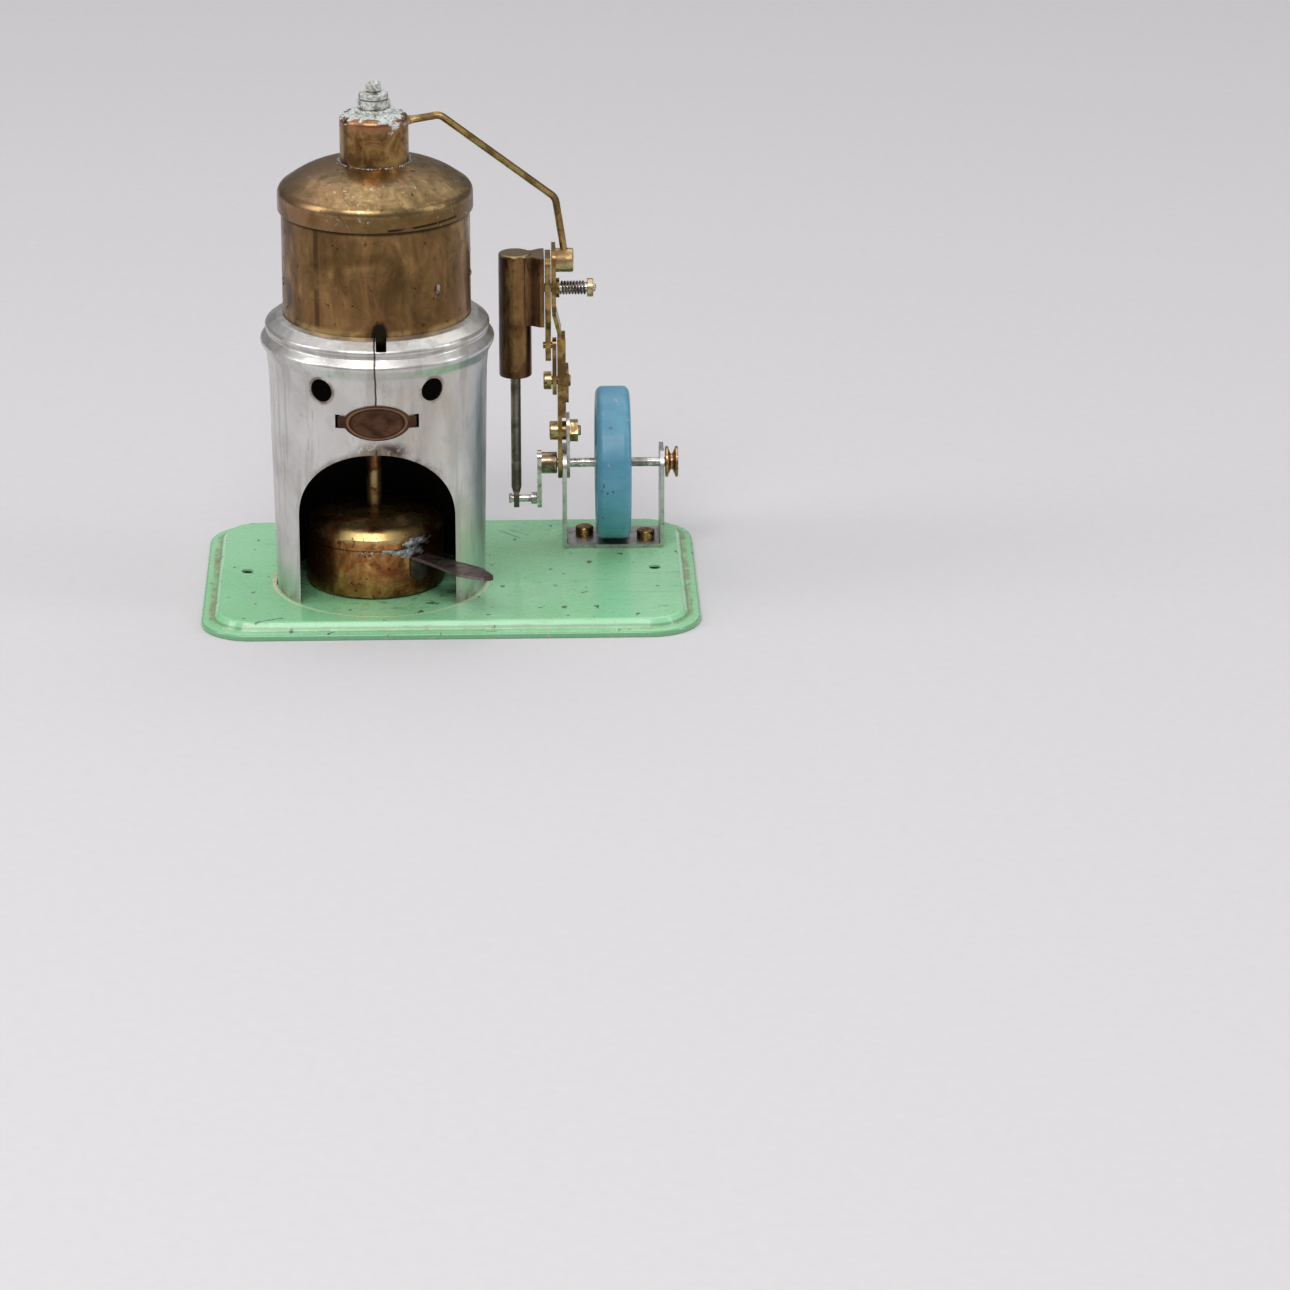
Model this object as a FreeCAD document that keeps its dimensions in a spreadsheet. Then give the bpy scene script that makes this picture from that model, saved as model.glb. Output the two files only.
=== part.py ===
import FreeCAD, Part
import math
import operator
import os
import Sketcher

# A model steam engine: an upright spirit-fired boiler and an oscillating cylinder on a pressed base plate.
# X runs left to right, Y from the front to the back and Z up. The origin is the middle of the base plate's
# underside. The boiler stands on the left; the engine's cylinder, crank, flywheel and pulley share one
# upright plane behind it, at engine_y, with the crankshaft along X.

Vector = FreeCAD.Vector

# Driving dimensions in millimetres and degrees: (name, value, what it is).
DRIVING_SIZES = (
    ("sheet", 0.6, "thickness of the pressed base plate"),
    ("base_length", 135.0, "base plate, left to right"),
    ("base_depth", 91.0, "base plate, front to back"),
    ("base_corner", 14.0, "corner radius of the base plate"),
    ("base_top", 3.8, "height of the raised top of the base plate"),
    ("rim_height", 1.7, "height of the rolled rim round the base plate"),
    ("rim_round", 0.8, "rounding of the rolled rim"),
    ("border", 4.8, "from the plate's edge to its raised top"),
    ("border_slope", 40.0, "slope of the raised top's sides, from upright"),
    ("mount_spacing", 112.0, "between the two holes for screwing the engine down"),
    ("mount_hole", 1.65, "radius of those holes"),
    ("boiler_x", -19.1, "axis of the boiler"),
    ("boiler_y", -8.2, "axis of the boiler"),
    ("shell_wall", 0.5, "wall of the firebox"),
    ("shell_foot", 28.4, "outer radius of the firebox at its foot"),
    ("shell_top", 29.4, "outer radius of the firebox under its collar"),
    ("shell_top_z", 64.0, "height of that place"),
    ("collar_z", 73.9, "middle of the collar's lower roll"),
    ("collar_roll", 31.8, "corner of the lower roll's outline"),
    ("collar_groove", 29.7, "outer radius in the groove above it"),
    ("collar_shoulder", 30.6, "corner of the upper roll's outline"),
    ("collar_top", 81.0, "height of the collar's lip"),
    ("vent", 3.2, "radius of the six vents"),
    ("vent_z", 66.6, "height of the vents"),
    ("arch_half", 21.05, "half width of the stoking arch"),
    ("arch_x", -19.65, "middle of the stoking arch"),
    ("arch_z", 49.4, "crown of the stoking arch"),
    ("arch_round", 20.3, "radius of the arch's crown"),
    ("slit", 2.8, "width of the gap in the collar's lip"),
    ("tab_width", 6.0, "width of the folded tabs that hold the firebox"),
    ("tab_reach", 4.5, "length of those tabs under the plate"),
    ("drum", 25.3, "outer radius of the boiler drum"),
    ("drum_floor", 70.5, "height of the boiler's bottom"),
    ("drum_wall", 0.6, "wall of the boiler"),
    ("lid_foot", 109.8, "lower edge of the boiler's lid"),
    ("lid_rim", 26.2, "outer radius of the lid's rim"),
    ("lid_rim_z", 114.0, "upper end of the lid's rim"),
    ("lid_top", 122.1, "height of the lid where the steam dome stands on it"),
    ("dome", 9.2, "outer radius of the steam dome"),
    ("dome_top", 135.7, "height of the steam dome"),
    ("bush_flange", 5.2, "radius of the bush that the safety valve screws into"),
    ("bush_top", 137.2, "height of that bush"),
    ("thread", 2.5, "radius of the safety valve's thread"),
    ("valve_hex", 4.5, "corner radius of the safety valve's hexagon"),
    ("hex_top", 139.5, "height of the hexagon"),
    ("valve_flange", 3.95, "radius of the valve's round top"),
    ("valve_top", 141.5, "height of the valve's round top"),
    ("stem", 0.9, "radius of the valve's stem"),
    ("knob_foot", 141.9, "underside of the stem's knob"),
    ("knob_top", 144.3, "top of the stem's knob"),
    ("pipe", 1.0, "radius of the steam pipe"),
    ("pipe_z", 132.1, "height of the pipe where it leaves the steam dome"),
    ("pipe_knee", 20.6, "from the boiler's axis to the pipe's first bend"),
    ("pipe_elbow", 57.2, "from the boiler's axis to the pipe's second bend"),
    ("pipe_elbow_z", 103.3, "height of the second bend"),
    ("engine_y", 23.4, "plane of the cylinder and the crankshaft"),
    ("shaft_z", 26.5, "height of the crankshaft"),
    ("shaft", 1.25, "radius of the crankshaft"),
    ("running_gap", 0.05, "clearance all round a pin or shaft that turns"),
    ("strip", 1.1, "thickness of the bracket and of the standard"),
    ("bracket_left", 31.1, "left face of the bracket"),
    ("bracket_right", 59.2, "right face of the bracket"),
    ("bracket_depth", 15.2, "width of the bracket's strip"),
    ("bracket_top", 31.0, "height of the bracket's two arms"),
    ("screw", 1.45, "radius of the M3 screws"),
    ("nut_corner", 3.15, "corner radius of the small nuts"),
    ("web", 29.9, "left face of the standard's lower web"),
    ("port_face", 28.4, "left face of the standard's upper web, where the ports are"),
    ("joggle_z", 65.0, "where the standard starts to step to the left"),
    ("upper_z", 71.0, "where the standard's step ends"),
    ("standard_top", 89.0, "height of the standard"),
    ("standard_half", 6.5, "half width of the standard at the port face"),
    ("web_half", 4.2, "half width of the standard's lower web"),
    ("clamp_z", 35.9, "height of the clamp screw"),
    ("lever_z", 50.5, "height of the regulator lever's screw"),
    ("link_z", 60.7, "height of the regulator lever's pin"),
    ("pivot_z", 77.2, "axis on which the cylinder swings"),
    ("pivot", 1.2, "radius of the pivot pin"),
    ("boss_z", 85.1, "height of the steam inlet boss"),
    ("boss", 3.3, "radius of the steam inlet boss"),
    ("valve_left", 26.6, "left face of the reversing valve plate"),
    ("valve_thick", 1.5, "thickness of the reversing valve plate"),
    ("cylinder_x", 18.3, "axis of the cylinder"),
    ("cylinder", 4.5, "outer radius of the cylinder"),
    ("bore", 3.5, "radius of the cylinder's bore"),
    ("cylinder_foot", 52.3, "lower end of the cylinder"),
    ("cylinder_top", 87.4, "upper end of the cylinder's cap"),
    ("rod", 1.4, "radius of the piston rod"),
    ("crank_radius", 10.3, "from the crankshaft to the crank pin"),
    ("crank_left", 24.1, "left face of the crank arm"),
    ("crank_thick", 1.2, "thickness of the crank arm"),
    ("hub", 3.0, "radius of the crank's hub"),
    ("crank_pin", 1.05, "radius of the crank pin"),
    ("flywheel", 21.2, "radius of the flywheel"),
    ("flywheel_left", 40.4, "left face of the flywheel"),
    ("flywheel_width", 9.4, "width of the flywheel's rim"),
    ("pulley", 4.3, "radius of the pulley"),
    ("pulley_left", 59.7, "left face of the pulley"),
    ("pulley_width", 3.5, "width of the pulley"),
    ("burner_x", -20.7, "axis of the burner"),
    ("burner_y", -6.2, "axis of the burner"),
    ("burner_foot", 3.95, "underside of the burner"),
    ("tank", 18.7, "radius of the burner's tank"),
    ("tank_top", 17.9, "height of the seam between tank and lid"),
    ("tank_rim", 19.05, "radius of the burner lid's rim"),
    ("burner_skirt", 20.9, "height of the ridge where the burner lid's skirt ends"),
    ("burner_top", 25.3, "height of the burner's lid at the wick tube"),
    ("wick_tube", 2.05, "radius of the wick tube"),
    ("wick_tube_top", 45.0, "height of the wick tube, low enough to pass out under the arch"),
    ("handle_turn", 38.8, "direction of the handle, round from the front"),
    ("handle_z", 15.6, "height at which the handle leaves the tank"),
    ("handle_length", 31.6, "reach of the handle from the tank"),
    ("handle_rise", 1.8, "rise of the handle over that length"),
    ("handle_half", 4.2, "half width of the handle at its widest"),
)

# Further sizes that only one or two sub-parts use.
BRACKET_SCREWS = ((37.2, 25.0), (54.2, 21.4))  # the flywheel bracket's two screws, as (across, back)
NAMEPLATE_Z = 58.5  # height of the nameplate's middle
NAMEPLATE_TAB = 22.5  # angle out to the ends of its tabs
NAMEPLATE_TAB_HEIGHT = 3.2
PORT = 0.6  # radius of a steam port
PORT_SPREAD = 3.2 + PORT  # from the outer ports to the middle one
LEVER_THICK = 1.1  # thickness of the regulator lever
LINK_PIN = 0.9  # radius of the lever's pin
LINK_PLAY = 0.15  # the pin's play in the valve plate's slot
PIVOT_NUT_LEFT = 38.1  # left face of the nut that sets the pivot spring's pressure

document = FreeCAD.newDocument("model_steam_engine")

OPERATIONS = {"+": operator.add, "-": operator.sub, "*": operator.mul, "/": operator.truediv}


class Size:
    """A length that follows the sheet: its value now, and the formula that keeps it up to date."""

    def __init__(self, value, formula):
        self.value = value
        self.formula = formula

    def __add__(self, other):
        return combined(self, "+", other)

    def __radd__(self, other):
        return combined(other, "+", self)

    def __sub__(self, other):
        return combined(self, "-", other)

    def __rsub__(self, other):
        return combined(other, "-", self)

    def __mul__(self, other):
        return combined(self, "*", other)

    def __rmul__(self, other):
        return combined(other, "*", self)

    def __truediv__(self, other):
        return combined(self, "/", other)

    def __neg__(self):
        return combined(0, "-", self)


def as_size(number):
    """A plain number as a Size, and a Size as it is."""
    if isinstance(number, Size):
        return number
    return Size(float(number), f"({float(number)})")


def combined(first, sign, second):
    """The sum, difference, product or quotient of two sizes."""
    first = as_size(first)
    second = as_size(second)
    value = OPERATIONS[sign](first.value, second.value)
    return Size(value, f"({first.formula} {sign} {second.formula})")


class SizeSheet:
    """The spreadsheet of driving dimensions. Each one is read as an attribute, by its alias."""

    def __init__(self, rows):
        self.cells = document.addObject("Spreadsheet::Sheet", "Sizes")
        self.values = {}
        for number, (name, value, meaning) in enumerate(rows, start=1):
            self.cells.set(f"A{number}", meaning)
            self.cells.set(f"B{number}", str(value))
            self.cells.setAlias(f"B{number}", name)
            self.values[name] = value
        document.recompute()

    def __getattr__(self, name):
        return Size(self.values[name], f"Sizes.{name}")


size = SizeSheet(DRIVING_SIZES)


# ---- Drawing ----

def bind(thing, place, length):
    """Tie one property or constraint of thing to the sheet."""
    thing.setExpression(place, as_size(length).formula)


def new_body(label):
    body = document.addObject("PartDesign::Body", label)
    body.Label = label
    return body


def place(thing, across=0, back=0, up=0, turn=None):
    """Put a sub-part in the model, turned first by the rotation turn."""
    if turn is not None:
        thing.Placement = FreeCAD.Placement(Vector(), turn)
    for axis, length in (("x", across), ("y", back), ("z", up)):
        bind(thing, f"Placement.Base.{axis}", length)
    return thing


def new_sketch(body, name, role):
    """A sketch on one of the body's own origin planes: XY_Plane, XZ_Plane or YZ_Plane."""
    sketch = body.newObject("Sketcher::SketchObject", name)
    plane = next(item for item in body.Origin.OriginFeatures if item.Role == role)
    sketch.AttachmentSupport = [(plane, "")]
    sketch.MapMode = "FlatFace"
    return sketch


def pin_point(sketch, geometry, vertex, across, up):
    """Fix one point of the sketch at (across, up) from the sketch's origin."""
    for kind, length in (("DistanceX", across), ("DistanceY", up)):
        length = as_size(length)
        number = sketch.addConstraint(
            Sketcher.Constraint(kind, -1, 1, geometry, vertex, length.value))
        bind(sketch, f"Constraints[{number}]", length)


def set_radius(sketch, geometry, radius):
    radius = as_size(radius)
    number = sketch.addConstraint(Sketcher.Constraint("Radius", geometry, radius.value))
    bind(sketch, f"Constraints[{number}]", radius)


def draw_circle(sketch, across, up, radius):
    centre = Vector(as_size(across).value, as_size(up).value, 0)
    circle = Part.Circle(centre, Vector(0, 0, 1), as_size(radius).value)
    number = sketch.addGeometry(circle, False)
    pin_point(sketch, number, 3, across, up)
    set_radius(sketch, number, radius)


def rounding(before, corner, after, radius):
    """Where an arc of this radius touches the two sides that meet at corner, and the arc itself.

    The last value is the arc's end that meets the first side: 1 is its start and 2 its end.
    """
    towards = (before - corner).normalize()
    away = (after - corner).normalize()
    half_angle = towards.getAngle(away) / 2
    reach = radius / math.tan(half_angle)
    centre = corner + (towards + away).normalize() * (radius / math.sin(half_angle))
    first = corner + towards * reach
    last = corner + away * reach
    turns_left = towards.cross(away).z < 0
    start, end = (first, last) if turns_left else (last, first)
    start_angle = math.atan2(start.y - centre.y, start.x - centre.x)
    end_angle = math.atan2(end.y - centre.y, end.x - centre.x)
    if end_angle < start_angle:
        end_angle += 2 * math.pi
    arc = Part.ArcOfCircle(Part.Circle(centre, Vector(0, 0, 1), radius), start_angle, end_angle)
    return first, last, arc, 1 if turns_left else 2


def draw_outline(sketch, corners):
    """A closed outline of straight sides. A corner is (across, up) or (across, up, rounding radius)."""
    points = [Vector(as_size(corner[0]).value, as_size(corner[1]).value, 0) for corner in corners]
    count = len(points)
    starts = list(points)
    ends = list(points)
    arcs = {}
    for number, corner in enumerate(corners):
        if len(corner) == 3:
            after = points[(number + 1) % count]
            first, last, arc, meets = rounding(
                points[number - 1], points[number], after, as_size(corner[2]).value)
            ends[number] = first
            starts[number] = last
            arcs[number] = (arc, meets)
    sides = []
    for number in range(count):
        after = (number + 1) % count
        if (ends[after] - starts[number]).dot(points[after] - points[number]) <= 0:
            raise RuntimeError(f"{sketch.Name}: the roundings do not fit on side {number}")
        side = Part.LineSegment(starts[number], ends[after])
        sides.append(sketch.addGeometry(side, False))
    for number, corner in enumerate(corners):
        marker = sketch.addGeometry(Part.Point(points[number]), True)
        pin_point(sketch, marker, 1, corner[0], corner[1])
        before = sides[number - 1]
        after = sides[number]
        if number in arcs:
            arc, meets = arcs[number]
            bend = sketch.addGeometry(arc, False)
            sketch.addConstraint(Sketcher.Constraint("PointOnObject", marker, 1, before))
            sketch.addConstraint(Sketcher.Constraint("PointOnObject", marker, 1, after))
            sketch.addConstraint(Sketcher.Constraint("Tangent", before, 2, bend, meets))
            sketch.addConstraint(Sketcher.Constraint("Tangent", after, 1, bend, 3 - meets))
            set_radius(sketch, bend, corner[2])
        else:
            sketch.addConstraint(Sketcher.Constraint("Coincident", before, 2, marker, 1))
            sketch.addConstraint(Sketcher.Constraint("Coincident", after, 1, marker, 1))


def rectangle(left, right, low, high, radius=None):
    """The corners of a rectangle, with one rounding radius for all four."""
    corners = ((left, low), (right, low), (right, high), (left, high))
    if radius is None:
        return corners
    return tuple(corner + (radius,) for corner in corners)


# ---- Features ----

def revolve(body, corners, axis):
    """Turn an outline in the XZ plane round V_Axis, which is upright, or H_Axis, which is along X."""
    sketch = new_sketch(body, body.Label + "_outline", "XZ_Plane")
    draw_outline(sketch, corners)
    turned = body.newObject("PartDesign::Revolution", body.Label + "_turned")
    turned.Profile = sketch
    turned.ReferenceAxis = (sketch, [axis])
    turned.Angle = 360.0
    return turned


def pad(body, sketch, length, both_ways=False, backwards=False, slope=None):
    """Thicken a sketch along its plane's normal."""
    feature = body.newObject("PartDesign::Pad", sketch.Name + "_pad")
    set_extent(feature, sketch, length, both_ways, backwards, slope)
    return feature


def pocket(body, sketch, length, both_ways=False, backwards=False, slope=None):
    """Cut a sketch out of the body, and make sure that the cut takes something away."""
    document.recompute()
    before = body.Shape.Volume
    feature = body.newObject("PartDesign::Pocket", sketch.Name + "_pocket")
    set_extent(feature, sketch, length, both_ways, backwards, slope)
    document.recompute()
    if body.Shape.Volume >= before:
        raise RuntimeError(f"{sketch.Name} cuts nothing")
    return feature


def set_extent(feature, sketch, length, both_ways, backwards, slope):
    feature.Profile = sketch
    bind(feature, "Length", length)
    feature.Midplane = both_ways
    feature.Reversed = backwards
    if slope is not None:
        bind(feature, "TaperAngle", slope)


def round_edges(body, name, radius, chosen):
    """Round those edges of the body for which chosen(edge) is true."""
    document.recompute()
    base = body.Tip
    names = [f"Edge{number}" for number, edge in enumerate(base.Shape.Edges, start=1) if chosen(edge)]
    fillet = body.newObject("PartDesign::Fillet", name)
    fillet.Base = (base, names)
    bind(fillet, "Radius", radius)
    return fillet


def turned_part(label, corners, axis="V_Axis", across=0, back=0, up=0):
    """A sub-part turned from one outline, with its axis at the given place."""
    body = new_body(label)
    revolve(body, corners, axis)
    return place(body, across, back, up)


def hexagon(radius):
    """The corners of a regular hexagon round the origin, with two sides level."""
    return tuple((radius * math.cos(math.radians(60 * turn)), radius * math.sin(math.radians(60 * turn)))
                 for turn in range(6))


def on_top(edge, height):
    """True when the whole edge lies at this height."""
    return all(abs(vertex.Z - height) < 1e-4 for vertex in edge.Vertexes) and \
        abs(edge.CenterOfMass.z - height) < 1e-4


# ---- Base ----

def make_base_plate():
    """A tray pressed from sheet: a rolled rim, a valley, and a raised top with sloping sides."""
    body = new_body("base_plate")
    half_length = size.base_length / 2
    half_depth = size.base_depth / 2
    slope_run = math.tan(math.radians(size.border_slope.value))

    def tray_outline(name, inset):
        sketch = new_sketch(body, name, "XY_Plane")
        draw_outline(sketch, rectangle(
            inset - half_length, half_length - inset, inset - half_depth, half_depth - inset,
            size.base_corner - inset))
        return sketch

    top_inset = size.border - size.base_top * slope_run
    pad(body, tray_outline("rim", as_size(0)), size.rim_height)
    round_edges(body, "rim_rounding", size.rim_round,
                lambda edge: on_top(edge, size.rim_height.value))
    pad(body, tray_outline("raised_top", top_inset), size.base_top, slope=-size.border_slope)
    round_edges(body, "top_rounding", size.rim_round, lambda edge: on_top(edge, size.base_top.value))
    pocket(body, tray_outline("rim_hollow", size.sheet), size.rim_height - size.sheet, backwards=True)
    pocket(body, tray_outline("top_hollow", top_inset + size.sheet * 1.3), size.base_top - size.sheet,
           backwards=True, slope=-size.border_slope)

    holes = new_sketch(body, "plate_holes", "XY_Plane")
    for side in (-1, 1):
        draw_circle(holes, size.mount_spacing * (side / 2), 0, size.mount_hole)
    for across, back in BRACKET_SCREWS:
        draw_circle(holes, across, back, size.screw + size.running_gap)
    slot_half = size.tab_width / 2 + 0.2
    slot_out = size.shell_foot + 0.2
    slot_in = size.shell_foot - size.shell_wall - 0.2
    for across, back in ((1, 0), (-1, 0), (0, 1)):
        near = slot_in * across - slot_half * abs(back)
        far = slot_out * across + slot_half * abs(back)
        low = slot_in * back - slot_half * abs(across)
        high = slot_out * back + slot_half * abs(across)
        draw_outline(holes, rectangle(
            size.boiler_x + near, size.boiler_x + far, size.boiler_y + low, size.boiler_y + high))
    pocket(body, holes, size.base_top, backwards=True)

    groove_profile = new_sketch(body, "ring_groove", "XY_Plane")
    for radius in (size.shell_foot + 0.9, size.shell_foot + 0.3):
        draw_circle(groove_profile, size.boiler_x, size.boiler_y, radius)
    bind(groove_profile, "AttachmentOffset.Base.z", size.base_top)
    pocket(body, groove_profile, 0.2)
    return body


def make_bracket():
    """A strip bent into a U. Its two arms carry the crankshaft on both sides of the flywheel."""
    body = new_body("flywheel_bracket")
    left = size.bracket_left
    right = size.bracket_right
    inner_bend = 0.6
    outer_bend = inner_bend + size.strip
    top = size.bracket_top - size.base_top
    section = new_sketch(body, "bracket_section", "XZ_Plane")
    draw_outline(section, (
        (left, top), (left, 0, outer_bend), (right, 0, outer_bend), (right, top),
        (right - size.strip, top), (right - size.strip, size.strip, inner_bend),
        (left + size.strip, size.strip, inner_bend), (left + size.strip, top)))
    pad(body, section, size.bracket_depth, both_ways=True)
    round_edges(body, "arm_tops", 4.5, lambda edge: on_top(edge, top.value) and edge.Length < 1.2)
    bearings = new_sketch(body, "bracket_bearings", "YZ_Plane")
    draw_circle(bearings, 0, size.shaft_z - size.base_top, size.shaft + size.running_gap)
    pocket(body, bearings, 130, both_ways=True)
    holes = new_sketch(body, "bracket_holes", "XY_Plane")
    for across, back in BRACKET_SCREWS:
        draw_circle(holes, across, back - size.engine_y, size.screw + size.running_gap)
    pocket(body, holes, 4, both_ways=True)
    return place(body, 0, size.engine_y, size.base_top)


def make_bracket_screws():
    """Two cheese-headed screws, from the bracket down through the plate."""
    head_foot = size.base_top + size.strip
    shank_foot = 0.6
    screws = []
    for across, back in BRACKET_SCREWS:
        body = turned_part("bracket_screw_%d" % (len(screws) + 1), (
            (0, shank_foot), (size.screw, shank_foot), (size.screw, head_foot), (2.5, head_foot),
            (2.5, head_foot + 2.4, 0.5), (0, head_foot + 2.4)), "V_Axis", across, back)
        screws.append(body)
    return group("bracket_screws", screws)


def make_bracket_nuts():
    """The nuts of those two screws, in the hollow of the base plate."""
    nuts = []
    top = size.base_top - size.sheet
    for across, back in BRACKET_SCREWS:
        nuts.append(nut("bracket_nut_%d" % (len(nuts) + 1), "XY_Plane", 1.8, across, back, top - 1.8))
    return group("bracket_nuts", nuts)


def nut(label, role, thickness, across, back, up):
    """A hexagon nut on an M3 thread, flat on the named plane."""
    body = new_body(label)
    outline = new_sketch(body, label + "_hexagon", role)
    draw_outline(outline, hexagon(size.nut_corner))
    draw_circle(outline, 0, 0, size.screw)
    pad(body, outline, thickness)
    return place(body, across, back, up)


def group(label, bodies):
    """Several loose solids kept together in one node."""
    gathered = document.addObject("Part::Compound", label)
    gathered.Label = label
    gathered.Links = bodies
    return gathered


# ---- Firebox and boiler ----

def make_firebox():
    """The sheet firebox: a slightly conical shell under a rolled collar that grips the boiler."""
    body = new_body("firebox")
    foot = size.base_top
    outside = (
        (size.shell_foot, 0),
        (size.shell_top, size.shell_top_z - foot, 60),
        (size.shell_top + 0.5, size.collar_z - 3.6 - foot, 2.5),
        (size.collar_roll, size.collar_z - foot, 1.5),
        (size.collar_groove, size.collar_z + 2.4 - foot, 0.7),
        (size.collar_shoulder, size.collar_z + 4.2 - foot, 1.3),
        (size.drum + 1.9, size.collar_top - 0.5 - foot, 1.2),
    )
    lip_low = (size.drum + 0.1, size.collar_top - size.shell_wall - foot)
    lip_high = (size.drum + 0.1, size.collar_top - foot)
    inside = []
    for corner in reversed(outside):
        inside.append((corner[0] - size.shell_wall, corner[1] - 0.12) + corner[2:])
    inside[-1] = (size.shell_foot - size.shell_wall, 0)
    revolve(body, outside + (lip_high, lip_low) + tuple(inside), "V_Axis")

    arch = new_sketch(body, "stoking_arch", "XZ_Plane")
    left = size.arch_x - size.arch_half - size.boiler_x
    right = size.arch_x + size.arch_half - size.boiler_x
    crown = size.arch_z - foot
    draw_outline(arch, ((left, -1), (right, -1), (right, crown, size.arch_round),
                        (left, crown, size.arch_round)))
    pocket(body, arch, 40, backwards=True)

    slit = new_sketch(body, "lip_slit", "XZ_Plane")
    draw_outline(slit, rectangle(0, size.slit, size.collar_top - 2.6 - foot, size.collar_top + 1 - foot))
    pocket(body, slit, 40, backwards=True)

    vent = new_sketch(body, "vent", "YZ_Plane")
    draw_circle(vent, 0, size.vent_z - foot, size.vent)
    first_vent = pocket(body, vent, 40, backwards=True)
    vents = body.newObject("PartDesign::PolarPattern", "vents")
    vents.Originals = [first_vent]
    vents.Axis = (vent, ["V_Axis"])
    vents.Angle = 360.0
    vents.Occurrences = 6
    body.Tip = vents

    plate_slots = new_sketch(body, "nameplate_slots", "XZ_Plane")
    for side in (-1, 1):
        middle = side * (size.shell_top * math.sin(math.radians(NAMEPLATE_TAB)) - 0.7)
        draw_outline(plate_slots, rectangle(
            middle - 0.6, middle + 0.6, NAMEPLATE_Z - 1.9 - foot, NAMEPLATE_Z + 1.9 - foot))
    pocket(body, plate_slots, 40, backwards=True)

    tab = new_sketch(body, "foot_tab", "XY_Plane")
    half = size.tab_width / 2
    draw_outline(tab, rectangle(size.shell_foot - size.shell_wall, size.shell_foot - 0.05, -half, half))
    upright_tab = pad(body, tab, size.sheet + size.shell_wall, backwards=True)
    fold = new_sketch(body, "foot_fold", "XY_Plane")
    draw_outline(fold, rectangle(size.shell_foot - size.tab_reach, size.shell_foot - 0.05, -half, half))
    bind(fold, "AttachmentOffset.Base.z", -size.sheet)
    folded_tab = pad(body, fold, size.shell_wall, backwards=True)
    tabs = body.newObject("PartDesign::PolarPattern", "tabs")
    tabs.Originals = [upright_tab, folded_tab]
    tabs.Axis = (vent, ["V_Axis"])
    tabs.Angle = 180.0
    tabs.Occurrences = 3
    body.Tip = tabs
    return place(body, size.boiler_x, size.boiler_y, foot)


def make_nameplate():
    """A blank oval plate, curved to the firebox, with a tab at each end that hooks into a slot."""
    towards_front = FreeCAD.Rotation(Vector(1, 0, 0), 90)
    reach = 40
    oval = document.addObject("Part::Ellipse", "nameplate_oval")
    bind(oval, "MajorRadius", 9.0)
    bind(oval, "MinorRadius", 4.8)
    place(oval, size.boiler_x, size.boiler_y, NAMEPLATE_Z, towards_front)
    prism = document.addObject("Part::Extrusion", "nameplate_prism")
    prism.Base = oval
    prism.DirMode = "Normal"
    prism.LengthFwd = reach
    prism.Solid = True
    prism.Reversed = True
    tab_end = size.shell_top * math.sin(math.radians(NAMEPLATE_TAB)) - 0.8
    tabs = document.addObject("Part::Box", "nameplate_tabs")
    bind(tabs, "Length", tab_end * 2)
    bind(tabs, "Width", reach)
    bind(tabs, "Height", NAMEPLATE_TAB_HEIGHT)
    place(tabs, size.boiler_x - tab_end, size.boiler_y - reach, NAMEPLATE_Z - NAMEPLATE_TAB_HEIGHT / 2)
    outline = document.addObject("Part::Fuse", "nameplate_outline")
    outline.Base = prism
    outline.Tool = tabs
    height = 12
    ring = ring_between("nameplate_ring", size.shell_top + 0.03, size.shell_top + 0.48, height)
    place(ring, size.boiler_x, size.boiler_y, NAMEPLATE_Z - height / 2)
    plate = document.addObject("Part::Common", "nameplate")
    plate.Label = "nameplate"
    plate.Base = ring
    plate.Tool = outline
    return plate


def ring_between(label, inner, outer, height):
    """A short upright tube, made of two primitives."""
    solid = []
    for part, radius in (("outside", outer), ("inside", inner)):
        cylinder = document.addObject("Part::Cylinder", f"{label}_{part}")
        bind(cylinder, "Radius", radius)
        bind(cylinder, "Height", height)
        solid.append(cylinder)
    ring = document.addObject("Part::Cut", label)
    ring.Base, ring.Tool = solid
    return ring


def make_boiler_drum():
    """The boiler's drum: a cup whose open end is closed by the lid."""
    wall = size.drum_wall
    return turned_part("boiler_drum", (
        (0, size.drum_floor), (size.drum, size.drum_floor, 1.5), (size.drum, size.lid_rim_z - 0.7),
        (size.drum - wall, size.lid_rim_z - 0.7), (size.drum - wall, size.drum_floor + wall, 0.9),
        (0, size.drum_floor + wall)), "V_Axis", size.boiler_x, size.boiler_y)


def make_boiler_lid():
    """The boiler's domed lid, with a rim that slips over the drum and a hole for steam."""
    wall = size.drum_wall
    neck = size.dome - 2.2
    crown = size.lid_top + 0.6
    shoulder = size.lid_rim_z + 1.6
    return turned_part("boiler_lid", (
        (size.drum + 0.05, size.lid_foot), (size.lid_rim, size.lid_foot, 0.25),
        (size.lid_rim, shoulder, 3.0), (size.lid_rim - 7.5, shoulder + 5.2, 24),
        (size.dome, crown, 6), (neck, crown), (neck, crown - wall),
        (size.dome - 0.2, crown - wall, 6), (size.lid_rim - 7.6, shoulder + 4.6, 24),
        (size.drum + 0.05, shoulder - 0.3, 2.6)), "V_Axis", size.boiler_x, size.boiler_y)


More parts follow.
